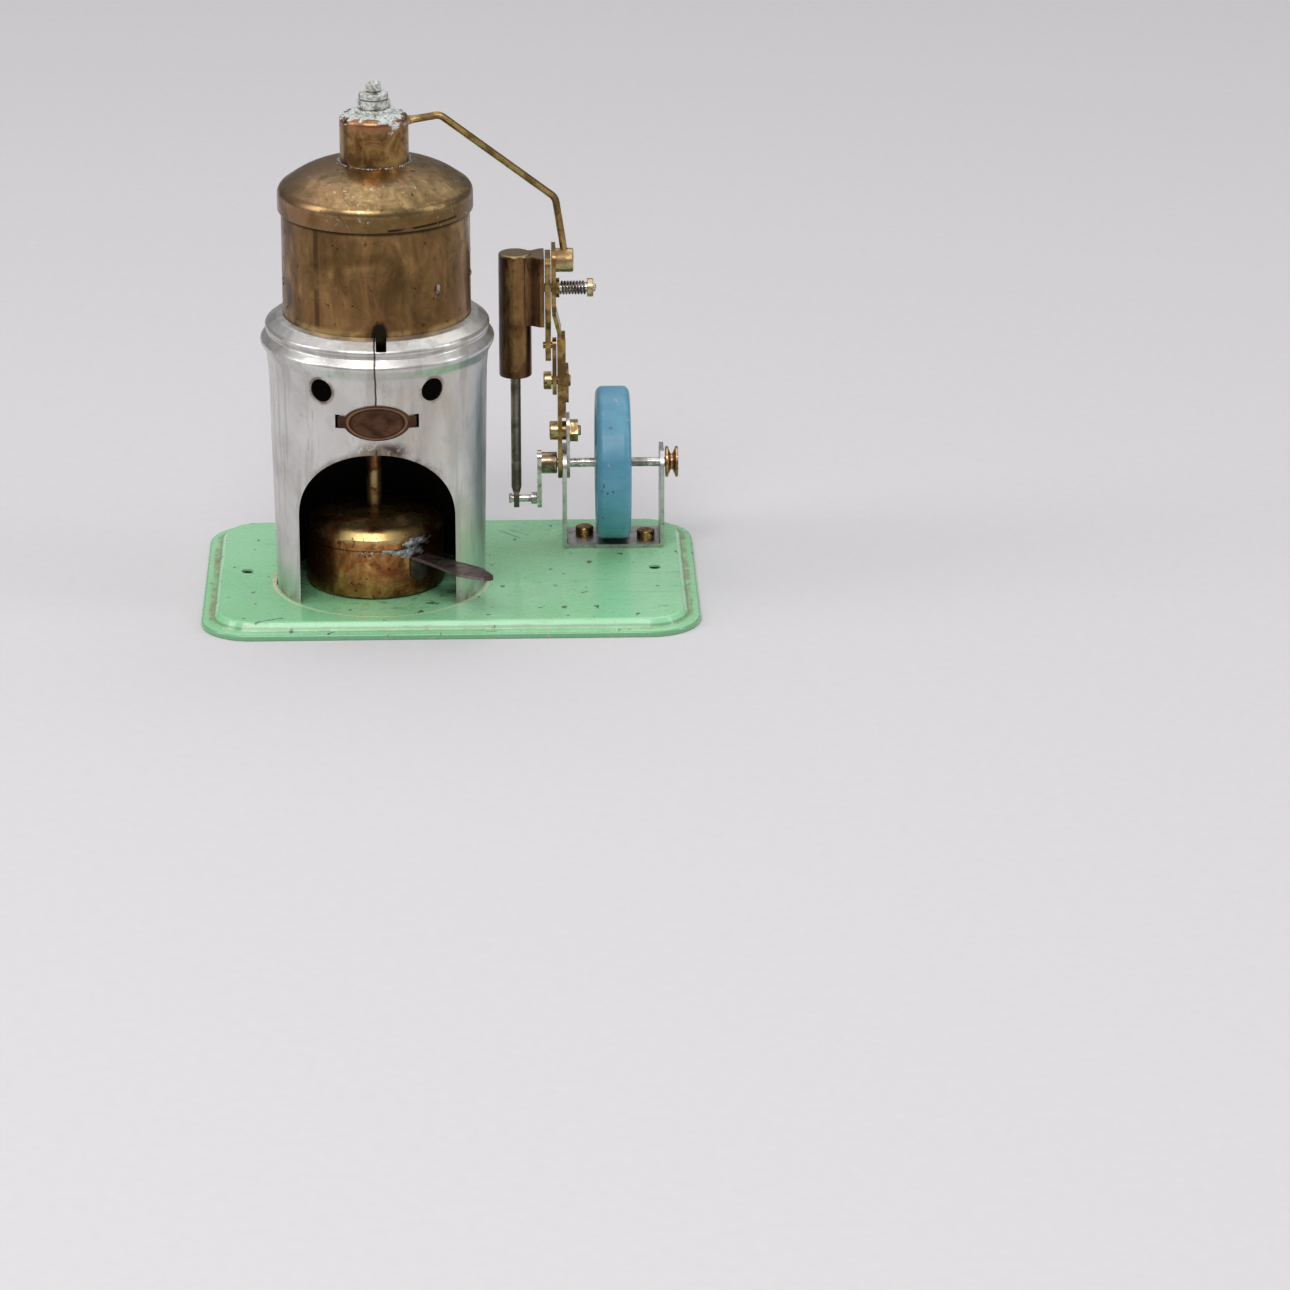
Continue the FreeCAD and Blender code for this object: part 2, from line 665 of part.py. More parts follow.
def make_steam_dome():
    """The drawn cup on top of the lid, where dry steam gathers, with a hole for the pipe in its side."""
    wall = size.drum_wall
    foot = size.lid_top + 0.62
    bore = size.bush_flange - 1.6
    body = turned_part("steam_dome", (
        (size.dome - wall, foot), (size.dome, foot), (size.dome, size.dome_top, 1.7),
        (bore, size.dome_top), (bore, size.dome_top - wall),
        (size.dome - wall, size.dome_top - wall, 1.1)))
    hole = new_sketch(body, "pipe_hole", "YZ_Plane")
    draw_circle(hole, 0, size.pipe_z, size.pipe + 0.02)
    pocket(body, hole, size.dome + 1, backwards=True)
    _, turn = pipe_direction()
    return place(body, size.boiler_x, size.boiler_y, 0, FreeCAD.Rotation(Vector(0, 0, 1), turn))


def make_filler_bush():
    """The bush soldered in the steam dome. The boiler is filled through it."""
    neck = size.bush_flange - 1.65
    bore = size.thread + size.running_gap
    return turned_part("filler_bush", (
        (bore, size.dome_top - 3.4), (neck, size.dome_top - 3.4), (neck, size.dome_top),
        (size.bush_flange, size.dome_top), (size.bush_flange, size.bush_top, 0.5),
        (bore, size.bush_top)), "V_Axis", size.boiler_x, size.boiler_y)


# ---- Safety valve ----

def make_valve_body():
    """The safety valve, which is also the filler plug: thread, hexagon and round top over a spring well."""
    body = new_body("safety_valve_body")
    seat = size.dome_top - 2.6
    well = size.stem + 0.9
    top = size.valve_top
    underside = size.bush_top + 0.3
    revolve(body, (
        (size.stem + 0.1, seat - 0.8), (size.thread, seat - 0.8), (size.thread, underside),
        (size.valve_hex - 0.7, underside), (size.valve_hex - 0.7, size.hex_top),
        (size.valve_flange - 0.8, size.hex_top), (size.valve_flange - 0.8, size.hex_top + 0.5),
        (size.valve_flange, size.hex_top + 0.5), (size.valve_flange, top, 0.4),
        (size.stem + size.running_gap, top), (size.stem + size.running_gap, top - 1.2),
        (well, top - 1.2), (well, seat), (size.stem + 0.1, seat)), "V_Axis")
    flats = new_sketch(body, "valve_hexagon", "XY_Plane")
    draw_outline(flats, hexagon(size.valve_hex))
    draw_circle(flats, 0, 0, size.thread + 0.5)
    bind(flats, "AttachmentOffset.Base.z", underside)
    pad(body, flats, size.hex_top - underside)
    return place(body, size.boiler_x, size.boiler_y)


def make_valve_washer():
    """The sealing washer between the bush and the safety valve's hexagon."""
    return turned_part("valve_washer", (
        (size.thread + 0.08, size.bush_top + 0.05), (4.3, size.bush_top + 0.05),
        (4.3, size.bush_top + 0.25), (size.thread + 0.08, size.bush_top + 0.25)),
        "V_Axis", size.boiler_x, size.boiler_y)


def make_valve_stem():
    """The valve's disc, stem and knob. Steam pressure lifts the disc off its seat."""
    seat = size.dome_top - 2.6
    disc = size.stem + 0.7
    return turned_part("valve_stem", (
        (0, seat + 0.02), (disc, seat + 0.02), (disc, seat + 0.7), (size.stem, seat + 0.7),
        (size.stem, size.knob_foot), (2.0, size.knob_foot, 0.2), (2.0, size.knob_top - 0.5, 0.3),
        (1.2, size.knob_top, 0.3), (0, size.knob_top)), "V_Axis", size.boiler_x, size.boiler_y)


def coil(label, radius, wire, pitch, height):
    """An upright spring of round wire, whose middle line starts at the local origin's height."""
    helix = Part.makeHelix(pitch, height, radius)
    section = Part.Wire(Part.makeCircle(wire, Vector(radius, 0, 0), Vector(0, 1, 0)))
    spring = document.addObject("Part::Feature", label)
    spring.Label = label
    spring.Shape = Part.Wire(helix.Edges).makePipeShell([section], True, True)
    return spring


def make_valve_spring():
    """The small spring that presses the valve's disc down."""
    wire = 0.2
    foot = size.dome_top.value - 2.6 + 0.7 + wire + 0.02
    top = size.valve_top.value - 1.2 - wire - 0.02
    spring = coil("valve_spring", size.stem.value + 0.5, wire, 0.9, top - foot)
    spring.Placement = FreeCAD.Placement(
        Vector(size.boiler_x.value, size.boiler_y.value, foot), FreeCAD.Rotation())
    return spring


# ---- Steam pipe ----

def pipe_direction():
    """The engine's steam inlet as seen from the boiler's axis: how far away, and in which direction."""
    inlet_x = (size.port_face + size.strip + 2.4).value
    across = inlet_x - size.boiler_x.value
    back = size.engine_y.value - size.boiler_y.value
    return math.hypot(across, back), math.degrees(math.atan2(back, across))


def make_steam_pipe():
    """The pipe from the steam dome down to the inlet boss, bent in one upright plane."""
    body = new_body("steam_pipe")
    reach, turn = pipe_direction()
    start = size.dome - size.drum_wall / 2
    route = new_sketch(body, "pipe_route", "XZ_Plane")
    drop = size.boss_z + size.boss - 0.9 - size.pipe_z
    corners = ((0, 0), (size.pipe_knee - start, 0), (size.pipe_elbow - start, size.pipe_elbow_z - size.pipe_z),
               (reach - start, drop))
    draw_path(route, corners, 4.0)
    section = new_sketch(body, "pipe_section", "YZ_Plane")
    draw_circle(section, 0, 0, size.pipe)
    tube = body.newObject("PartDesign::AdditivePipe", "pipe_run")
    tube.Profile = section
    tube.Spine = (route, [])
    direction = FreeCAD.Rotation(Vector(0, 0, 1), turn)
    start_point = direction.multVec(Vector(start.value, 0, 0))
    return place(body, size.boiler_x + start_point.x, size.boiler_y + start_point.y, size.pipe_z, direction)


def draw_path(sketch, corners, bend):
    """An open line through the corners, with each inner corner rounded to the same bend."""
    points = [Vector(as_size(across).value, as_size(up).value, 0) for across, up in corners]
    starts = list(points)
    ends = list(points)
    bends = []
    for number in range(1, len(points) - 1):
        first, last, arc, meets = rounding(points[number - 1], points[number], points[number + 1], bend)
        ends[number] = first
        starts[number] = last
        bends.append((arc, meets))
    runs = [sketch.addGeometry(Part.LineSegment(starts[number], ends[number + 1]), False)
            for number in range(len(points) - 1)]
    for number, (arc, meets) in enumerate(bends):
        curve = sketch.addGeometry(arc, False)
        marker = sketch.addGeometry(Part.Point(points[number + 1]), True)
        pin_point(sketch, marker, 1, *corners[number + 1])
        sketch.addConstraint(Sketcher.Constraint("PointOnObject", marker, 1, runs[number]))
        sketch.addConstraint(Sketcher.Constraint("PointOnObject", marker, 1, runs[number + 1]))
        sketch.addConstraint(Sketcher.Constraint("Tangent", runs[number], 2, curve, meets))
        sketch.addConstraint(Sketcher.Constraint("Tangent", runs[number + 1], 1, curve, 3 - meets))
        set_radius(sketch, curve, bend)
    pin_point(sketch, runs[0], 1, *corners[0])
    pin_point(sketch, runs[-1], 2, *corners[-1])


def make_inlet_boss():
    """The turned boss soldered to the back of the standard. The steam pipe enters it from above."""
    body = new_body("steam_inlet_boss")
    left = size.port_face + size.strip
    revolve(body, ((left, 0), (left, size.boss), (left + 4.9, size.boss, 0.5), (left + 4.9, 0)), "H_Axis")
    pipe_hole = new_sketch(body, "boss_pipe_hole", "XY_Plane")
    draw_circle(pipe_hole, left + 2.4, 0, size.pipe + size.running_gap)
    pocket(body, pipe_hole, 8, backwards=True)
    steam_hole = new_sketch(body, "boss_steam_hole", "YZ_Plane")
    draw_circle(steam_hole, 0, 0, 0.8)
    pocket(body, steam_hole, left + 2.4, backwards=True)
    return place(body, 0, size.engine_y, size.boss_z)


# ---- Standard ----

def make_standard():
    """The upright sheet that carries the cylinder: a port face above, a step, and a flanged web below."""
    body = new_body("engine_standard")
    thick = size.strip
    foot = size.shaft_z - size.web_half
    bend = 1.2
    section = new_sketch(body, "standard_section", "XZ_Plane")
    draw_outline(section, (
        (size.web, foot), (size.web + thick, foot), (size.web + thick, size.joggle_z, bend),
        (size.port_face + thick, size.upper_z, bend), (size.port_face + thick, size.standard_top),
        (size.port_face, size.standard_top), (size.port_face, size.upper_z, bend),
        (size.web, size.joggle_z, bend)))
    pad(body, section, size.standard_half * 2, both_ways=True)

    sides = new_sketch(body, "standard_sides", "YZ_Plane")
    for side in (-1, 1):
        narrow = size.web_half * side
        wide = size.standard_half * side
        outer = (size.standard_half + 3) * side
        draw_outline(sides, (
            (narrow, foot - 1), (outer, foot - 1), (outer, size.upper_z + 2.5),
            (wide, size.upper_z + 2.5, 2), (narrow, size.joggle_z - 0.4)))
    pocket(body, sides, 130, both_ways=True)
    round_edges(body, "standard_foot", size.web_half - 0.4,
                lambda edge: on_top(edge, foot.value) and edge.Length < thick.value + 0.1)
    round_edges(body, "standard_head", 2.5,
                lambda edge: on_top(edge, size.standard_top.value) and edge.Length < thick.value + 0.1)

    flanges = new_sketch(body, "standard_flanges", "XY_Plane")
    for side in (-1, 1):
        draw_outline(flanges, rectangle(size.web + thick / 2, size.web + 2.2,
                                        size.web_half * side - (0.4 + 0.4 * side),
                                        size.web_half * side + (0.4 - 0.4 * side)))
    bind(flanges, "AttachmentOffset.Base.z", size.clamp_z + 5)
    pad(body, flanges, size.joggle_z - size.clamp_z - 6.5)

    swell = new_sketch(body, "pivot_swell", "YZ_Plane")
    draw_circle(swell, 0, size.pivot_z, 2.7)
    bind(swell, "AttachmentOffset.Base.z", size.port_face + thick / 2)
    pad(body, swell, thick / 2 + 1.0)

    holes = new_sketch(body, "standard_holes", "YZ_Plane")
    for height, radius in (
            (size.shaft_z, size.shaft + size.running_gap), (size.clamp_z, size.screw + size.running_gap),
            (size.lever_z, size.pivot + size.running_gap), (size.pivot_z, size.pivot + size.running_gap)):
        draw_circle(holes, 0, height, radius)
    for across in (-PORT_SPREAD, 0, PORT_SPREAD):
        draw_circle(holes, across, size.boss_z, PORT)
    pocket(body, holes, 130, both_ways=True)
    return place(body, 0, size.engine_y)


def plate_across(label, left, thickness, corners, holes):
    """A flat plate whose faces look along X, with round holes as (back, up, radius)."""
    body = new_body(label)
    outline = new_sketch(body, label + "_outline", "YZ_Plane")
    draw_outline(outline, corners)
    for back, up, radius in holes:
        draw_circle(outline, back, up, radius)
    pad(body, outline, thickness)
    return place(body, left, size.engine_y)


def make_clamp_plate():
    """The plate that grips the bracket's arm between itself and the standard."""
    half = size.web_half
    return plate_across("clamp_plate", size.bracket_left + size.strip + 0.05, 0.9, rectangle(
        -half, half, size.shaft_z - half, size.clamp_z + half + 0.8, half - 0.4), (
            (0, size.shaft_z, size.shaft + size.running_gap),
            (0, size.clamp_z, size.screw + size.running_gap)))


def make_clamp_spacer():
    """The short tube that keeps the clamp plate level above the bracket's arm."""
    left = size.web + size.strip
    right = size.bracket_left + size.strip + 0.05
    return turned_part("clamp_spacer", (
        (left, size.screw + size.running_gap), (right, size.screw + size.running_gap),
        (right, 2.6), (left, 2.6)), "H_Axis", 0, size.engine_y, size.clamp_z)


def make_clamp_screw():
    head = size.web - 2.3
    end = size.bracket_left + size.strip + 0.95 + 3.1
    return turned_part("clamp_screw", (
        (head, 0), (head, 2.6, 0.4), (size.web, 2.6), (size.web, size.screw), (end, size.screw, 0.3),
        (end, 0)), "H_Axis", 0, size.engine_y, size.clamp_z)


def make_clamp_nut():
    left = size.bracket_left + size.strip + 0.95
    return nut("clamp_nut", "YZ_Plane", 2.3, left, size.engine_y, size.clamp_z)


def make_lever_screw():
    """The slotted screw on which the regulator lever turns. Its end is riveted over the backing plate."""
    body = new_body("lever_screw")
    head_right = size.web - 0.3 - LEVER_THICK - 0.3
    head_left = head_right - 2.2
    end = size.web + 2.2 + 0.8
    revolve(body, (
        (head_left, 0), (head_left, 2.5, 0.4), (head_right, 2.5), (head_right, size.pivot),
        (end, size.pivot), (end, 1.9), (end + 0.6, 1.4), (end + 0.6, 0)), "H_Axis")
    slot = new_sketch(body, "screw_slot", "XZ_Plane")
    draw_outline(slot, rectangle(head_left - 1, head_left + 0.9, -0.35, 0.35))
    pocket(body, slot, 10, both_ways=True)
    return place(body, 0, size.engine_y, size.lever_z)


def make_backing_plate():
    """The springy plate across the standard's flanges that gives the lever its friction."""
    return plate_across("lever_backing_plate", size.web + 2.2, 0.8, rectangle(
        -4, 4, size.lever_z - 5.6, size.lever_z + 4.2, 1.5), (
            (0, size.lever_z, size.pivot + size.running_gap),))


def make_regulator_lever():
    """The lever that a finger moves to start, stop and reverse the engine. Its pin shifts the valve plate."""
    body = new_body("regulator_lever")
    left = size.web - 0.3 - LEVER_THICK
    pin = size.link_z - size.lever_z
    outline = new_sketch(body, "lever_outline", "YZ_Plane")
    draw_outline(outline, (
        (-3.6, -3.6, 3.0), (9.0, -5.2, 1.6), (9.4, -1.6, 1.6), (3.4, 1.6, 2.5), (1.9, pin + 2.0, 1.7),
        (-1.9, pin + 2.0, 1.7)))
    draw_circle(outline, 0, 0, size.pivot + size.running_gap)
    pad(body, outline, LEVER_THICK)
    stud = new_sketch(body, "lever_pin", "YZ_Plane")
    draw_circle(stud, 0, pin, LINK_PIN)
    pad(body, stud, left - size.valve_left + 0.7, backwards=True)
    return place(body, left, size.engine_y, size.lever_z)


def make_valve_plate():
    """The reversing valve: a plate between cylinder and standard that picks the ports."""
    body = new_body("reversing_valve_plate")
    tail = 2.5
    half = 6.0
    link = size.link_z - size.pivot_z
    outline = new_sketch(body, "valve_plate_outline", "YZ_Plane")
    draw_outline(outline, (
        (-tail, link - 4.4, 2.2), (tail, link - 4.4, 2.2), (tail, -11.5, 2), (half, -8.0, 2),
        (half, 9.6, 2), (-half, 9.6, 2), (-half, -8.0, 2), (-tail, -11.5, 2)))
    slot = LINK_PIN + LINK_PLAY
    draw_outline(outline, rectangle(-slot, slot, link - 2.2, link + 2.2, LINK_PIN))
    draw_circle(outline, 0, 0, size.pivot + size.running_gap)
    for across in (-PORT_SPREAD / 2, PORT_SPREAD / 2):
        draw_circle(outline, across, size.boss_z - size.pivot_z, PORT)
    pad(body, outline, size.valve_thick)
    return place(body, size.valve_left, size.engine_y, size.pivot_z)


# ---- Cylinder ----

def make_cylinder_tube():
    """The cylinder: an upright tube, open below, with a port near its top."""
    body = new_body("cylinder_tube")
    foot = size.cylinder_foot
    top = size.cylinder_top - 1.4
    revolve(body, ((size.bore, foot), (size.cylinder, foot, 0.3), (size.cylinder, top),
                   (size.bore, top)), "V_Axis")
    port = new_sketch(body, "cylinder_port", "YZ_Plane")
    draw_circle(port, 0, size.boss_z, PORT)
    pocket(body, port, 10, backwards=True)
    return place(body, size.cylinder_x, size.engine_y)


def make_cylinder_cap():
    """The cap soldered in the top of the cylinder."""
    top = size.cylinder_top
    return turned_part("cylinder_cap", (
        (0, top - 1.6), (size.bore - 0.02, top - 1.6), (size.bore - 0.02, top - 1.4),
        (size.cylinder, top - 1.4), (size.cylinder, top, 0.7), (0, top)),
        "V_Axis", size.cylinder_x, size.engine_y)


def make_port_block():
    """The block soldered along the cylinder. Its flat face slides on the valve plate."""
    body = new_body("port_block")
    foot = 67.3
    face = size.valve_left - 0.3 - size.cylinder_x
    outline = new_sketch(body, "block_outline", "XY_Plane")
    draw_outline(outline, (
        (2.4, -3.6), (4.4, -3.2, 1.6), (face - 1.2, -5.0, 0.8), (face, -5.0), (face, 5.0),
        (face - 1.2, 5.0, 0.8), (4.4, 3.2, 1.6), (2.4, 3.6)))
    pad(body, outline, 19.7)
    saddle = new_sketch(body, "block_saddle", "XY_Plane")
    draw_circle(saddle, 0, 0, size.cylinder + 0.01)
    pocket(body, saddle, 25, backwards=True)
    holes = new_sketch(body, "block_holes", "YZ_Plane")
    draw_circle(holes, 0, size.pivot_z - foot, size.pivot)
    draw_circle(holes, 0, size.boss_z - foot, PORT)
    pocket(body, holes, 10, backwards=True)
    return place(body, size.cylinder_x, size.engine_y, foot)


def make_pivot_pin():
    """The pin screwed into the port block, through valve plate, standard, spring and nut."""
    left = size.cylinder_x + size.cylinder + 0.3
    end = PIVOT_NUT_LEFT + 2.5
    return turned_part("pivot_pin", (
        (left, 0), (left, size.pivot - 0.01), (end, size.pivot - 0.01, 0.8), (end, 0)),
        "H_Axis", 0, size.engine_y, size.pivot_z)


def make_pivot_nut():
    return turned_part("pivot_nut", (
        (PIVOT_NUT_LEFT, size.pivot), (PIVOT_NUT_LEFT, 2.55, 0.2), (PIVOT_NUT_LEFT + 1.7, 2.55, 0.3),
        (PIVOT_NUT_LEFT + 1.7, size.pivot)), "H_Axis", 0, size.engine_y, size.pivot_z)


def make_pivot_spring():
    """The spring that holds the cylinder's face against the valve plate."""
    wire = 0.3
    left = (size.port_face + size.strip).value + 1.0 + 0.05 + wire
    right = PIVOT_NUT_LEFT - 0.02 - wire
    spring = coil("pivot_spring", size.pivot.value + 0.12 + wire, wire, 0.83, right - left)
    spring.Placement = FreeCAD.Placement(
        Vector(left, size.engine_y.value, size.pivot_z.value), FreeCAD.Rotation(Vector(0, 1, 0), 90))
    return spring


# ---- Piston ----

def make_piston():
    """The piston, at the bottom of its stroke."""
    foot = size.cylinder_foot + 2.2
    land = size.bore - 0.04
    return turned_part("piston", (
        (0, foot), (land, foot, 0.3), (land, foot + 2.6), (land - 0.4, foot + 2.6),
        (land - 0.4, foot + 3.6), (land, foot + 3.6), (land, foot + 6.4, 0.3), (0, foot + 6.4)),
        "V_Axis", size.cylinder_x, size.engine_y)


def make_piston_rod():
    """The rod from the piston down to the crank pin: round above, flattened round its eye."""
    body = new_body("piston_rod")
    pin_z = size.shaft_z - size.crank_radius
    flat = 0.75
    revolve(body, (
        (0, pin_z + 1.5), (flat + 0.1, pin_z + 1.5), (size.rod, pin_z + 3.4),
        (size.rod, size.cylinder_foot + 2.2), (0, size.cylinder_foot + 2.2)), "V_Axis")
    eye = new_sketch(body, "rod_eye", "YZ_Plane")
    draw_outline(eye, rectangle(-1.9, 1.9, pin_z - 2.6, pin_z + 2.6, 1.8))
    bind(eye, "AttachmentOffset.Base.z", -flat)
    pad(body, eye, flat * 2)
    hole = new_sketch(body, "rod_eye_hole", "YZ_Plane")
    draw_circle(hole, 0, pin_z, size.crank_pin)
    pocket(body, hole, 10, both_ways=True)
    return place(body, size.cylinder_x, size.engine_y)


def make_crank_pin():
    """The pin that joins rod and crank, with a collar on the crank's side and a head on the other."""
    left = size.cylinder_x - 2.1
    right = size.crank_left - 0.1
    pin = size.crank_pin
    return turned_part("crank_pin", (
        (left, 0), (left, pin + 0.3, 0.2), (left + 0.9, pin + 0.3), (left + 0.9, pin - 0.01),
        (right - 1.6, pin - 0.01), (right - 1.6, 1.7), (right, 1.7, 0.2), (right, 0)),
        "H_Axis", 0, size.engine_y, size.shaft_z - size.crank_radius)


# ---- Crankshaft ----

def make_crank_arm():
    half = 2.2
    low = size.crank_radius + 2.7
    body = plate_across("crank_arm", size.crank_left, size.crank_thick, rectangle(
        -half, half, size.shaft_z - low, size.shaft_z + 3.6, half - 0.1), (
            (0, size.shaft_z, size.shaft + 0.01), (0, size.shaft_z - size.crank_radius, 0.9)))
    return body


def make_crank_hub():
    left = size.crank_left + size.crank_thick
    right = size.web - 0.3
    return turned_part("crank_hub", (
        (left, size.shaft + 0.01), (left, size.hub), (right, size.hub, 0.3), (right, size.shaft + 0.01)),
        "H_Axis", 0, size.engine_y, size.shaft_z)


def make_crankshaft():
    left = size.crank_left
    right = size.pulley_left + size.pulley_width - 0.2
    return turned_part("crankshaft", (
        (left, 0), (left, size.shaft), (right, size.shaft, 0.3), (right, 0)),
        "H_Axis", 0, size.engine_y, size.shaft_z)


def make_flywheel():
    """The cast flywheel: a rounded rim, a thinner web on both sides and a hub."""
    left = size.flywheel_left
    right = left + size.flywheel_width
    bore = size.shaft + 0.01
    rim_inner = size.flywheel - 4.2
    web_depth = 2.6
    hub = 4.6
    return turned_part("flywheel", (
        (left, bore), (left, hub, 0.6), (left + web_depth, hub + 0.6, 1.0),
        (left + web_depth, rim_inner - 0.6, 1.0), (left, rim_inner, 0.6), (left, size.flywheel, 2.0),
        (right, size.flywheel, 2.0), (right, rim_inner, 0.6), (right - web_depth, rim_inner - 0.6, 1.0),
        (right - web_depth, hub + 0.6, 1.0), (right, hub, 0.6), (right, bore)),
        "H_Axis", 0, size.engine_y, size.shaft_z)


def make_pulley():
    """The small grooved pulley that drives a model by a cord belt."""
    left = size.pulley_left
    right = left + size.pulley_width
    middle = left + size.pulley_width / 2
    bore = size.shaft + 0.01
    return turned_part("pulley", (
        (left, bore), (left, size.pulley, 0.2), (left + 0.7, size.pulley, 0.2),
        (middle - 0.2, 2.2, 0.1), (middle + 0.2, 2.2, 0.1), (right - 0.7, size.pulley, 0.2),
        (right, size.pulley, 0.2), (right, bore)), "H_Axis", 0, size.engine_y, size.shaft_z)


# ---- Burner ----

def make_burner_tank():
    wall = 0.5
    foot = size.burner_foot
    return turned_part("burner_tank", (
        (0, foot), (size.tank, foot, 1.2), (size.tank, size.tank_top), (size.tank - wall, size.tank_top),
        (size.tank - wall, foot + wall, 0.7), (0, foot + wall)), "V_Axis", size.burner_x, size.burner_y)


def make_burner_lid():
    """The lid soldered on the tank: a short skirt, a ridge, and a low dome up to the wick tube."""
    wall = 0.5
    bore = size.wick_tube + 0.02
    low = size.tank_top + 0.02
    top = size.burner_top
    outside = (
        (size.tank_rim, low, 0.2), (size.tank_rim, size.burner_skirt, 0.3),
        (size.tank_rim - 1.85, size.burner_skirt + 2.5, 3.5), (11.5, top - 0.2, 4), (bore, top))
    inside = (
        (bore, top - wall), (11.3, top - 0.2 - wall, 4), (size.tank_rim - 2.3, size.burner_skirt + 2.1, 3),
        (size.tank - 0.6, size.burner_skirt, 0.3), (size.tank - 0.6, low))
    return turned_part("burner_lid", outside + inside, "V_Axis", size.burner_x, size.burner_y)


def make_wick_tube():
    tube = size.wick_tube
    return turned_part("wick_tube", (
        (tube - 0.35, 8.0), (tube, 8.0), (tube, size.wick_tube_top), (tube - 0.35, size.wick_tube_top)),
        "V_Axis", size.burner_x, size.burner_y)


def make_wick():
    """The wick, from the bottom of the tank to just above its tube."""
    radius = size.wick_tube - 0.4
    return turned_part("wick", (
        (0, 5.0), (radius, 5.0), (radius, size.wick_tube_top + 2.5, 0.6), (0, size.wick_tube_top + 2.5)),
        "V_Axis", size.burner_x, size.burner_y)


def make_burner_handle():
    """A strip handle: a rounded tab on the tank's wall, bent outwards into a leaf that widens and rises."""
    body = new_body("burner_handle")
    thick = 0.8
    tab_length = 7.2
    root_half = 2.5
    section = new_sketch(body, "handle_section", "XZ_Plane")
    draw_outline(section, (
        (0, -tab_length), (thick, -tab_length), (thick, -thick, 0.8),
        (size.handle_length, size.handle_rise - thick), (size.handle_length, size.handle_rise),
        (0, 0, 1.6)))
    pad(body, section, size.handle_half * 2, both_ways=True)
    leaf = new_sketch(body, "handle_leaf", "XY_Plane")
    for side in (-1, 1):
        draw_outline(leaf, (
            (-1, root_half * side), (size.handle_length * 0.2, root_half * side, 20),
            (size.handle_length * 0.72, size.handle_half * side, 9),
            (size.handle_length - 1.2, 1.7 * side, 2.5), (size.handle_length + 0.3, 0.3 * side),
            (size.handle_length + 1, 0.3 * side), (size.handle_length + 1, (size.handle_half + 1) * side),
            (-1, (size.handle_half + 1) * side)))
    pocket(body, leaf, 30, both_ways=True)
    round_edges(body, "tab_end", root_half - 0.1,
                lambda edge: on_top(edge, -tab_length) and edge.Length < thick + 0.1)
    turn = FreeCAD.Rotation(Vector(0, 0, 1), size.handle_turn.value - 90)
    root = turn.multVec(Vector(size.tank.value + 0.02, 0, 0))
    return place(body, size.burner_x + root.x, size.burner_y + root.y, size.handle_z, turn)


SUB_PARTS = (
    make_base_plate, make_bracket, make_bracket_screws, make_bracket_nuts,
    make_firebox, make_nameplate, make_boiler_drum, make_boiler_lid, make_steam_dome, make_filler_bush,
    make_valve_washer, make_valve_body, make_valve_stem, make_valve_spring, make_steam_pipe, make_inlet_boss,
    make_standard, make_clamp_plate, make_clamp_spacer, make_clamp_screw, make_clamp_nut,
    make_lever_screw, make_backing_plate, make_regulator_lever, make_valve_plate,
    make_cylinder_tube, make_cylinder_cap, make_port_block, make_pivot_pin, make_pivot_nut,
    make_pivot_spring, make_piston, make_piston_rod, make_crank_pin,
    make_crank_arm, make_crank_hub, make_crankshaft, make_flywheel, make_pulley,
    make_burner_tank, make_burner_lid, make_wick_tube, make_wick, make_burner_handle,
)


def check(sub_parts):
    """Stop if any object of the document failed, or if a sub-part is no proper solid."""
    for item in document.Objects:
        if "Invalid" in item.State or "Error" in item.State:
            raise RuntimeError(f"{item.Name} failed: {item.State}")
    for sub_part in sub_parts:
        shape = sub_part.Shape
        if shape.isNull() or not shape.isValid() or not shape.Solids:
            raise RuntimeError(f"{sub_part.Label} has no valid solid")


def main():
    sub_parts = [make() for make in SUB_PARTS]
    document.recompute()
    check(sub_parts)
    os.makedirs("parts", exist_ok=True)
    for sub_part in sub_parts:
        sub_part.Shape.exportStep(f"parts/{sub_part.Label}.step")
        print(f"{sub_part.Label}: {sub_part.Shape.Volume:.1f} mm3 in {len(sub_part.Shape.Solids)}")


main()
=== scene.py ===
import math
import random

import bmesh
import bpy
from mathutils import Matrix, Vector, noise


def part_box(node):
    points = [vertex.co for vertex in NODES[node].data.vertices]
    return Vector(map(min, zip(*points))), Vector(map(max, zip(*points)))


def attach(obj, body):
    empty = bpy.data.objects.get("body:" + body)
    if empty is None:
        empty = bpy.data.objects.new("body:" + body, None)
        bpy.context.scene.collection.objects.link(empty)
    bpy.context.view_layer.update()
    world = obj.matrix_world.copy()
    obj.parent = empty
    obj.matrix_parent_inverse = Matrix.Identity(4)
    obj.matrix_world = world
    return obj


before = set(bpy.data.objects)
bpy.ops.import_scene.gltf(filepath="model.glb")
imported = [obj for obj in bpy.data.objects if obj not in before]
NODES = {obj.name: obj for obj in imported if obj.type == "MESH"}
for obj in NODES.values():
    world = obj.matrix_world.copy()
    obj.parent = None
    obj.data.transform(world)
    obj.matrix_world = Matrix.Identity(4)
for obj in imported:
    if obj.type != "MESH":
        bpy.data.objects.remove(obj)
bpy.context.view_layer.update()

MM = 0.001
DEGREE = 1 / 360  # in turns, the unit of the angle that Paint.round_boiler gives


# ---- Places, read from the frame ----

def centre(node):
    low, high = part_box(node)
    return (low + high) / 2


def half_width(node):
    """Half of a node's width, which is the radius of an upright turned part."""
    low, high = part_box(node)
    return (high.x - low.x) / 2


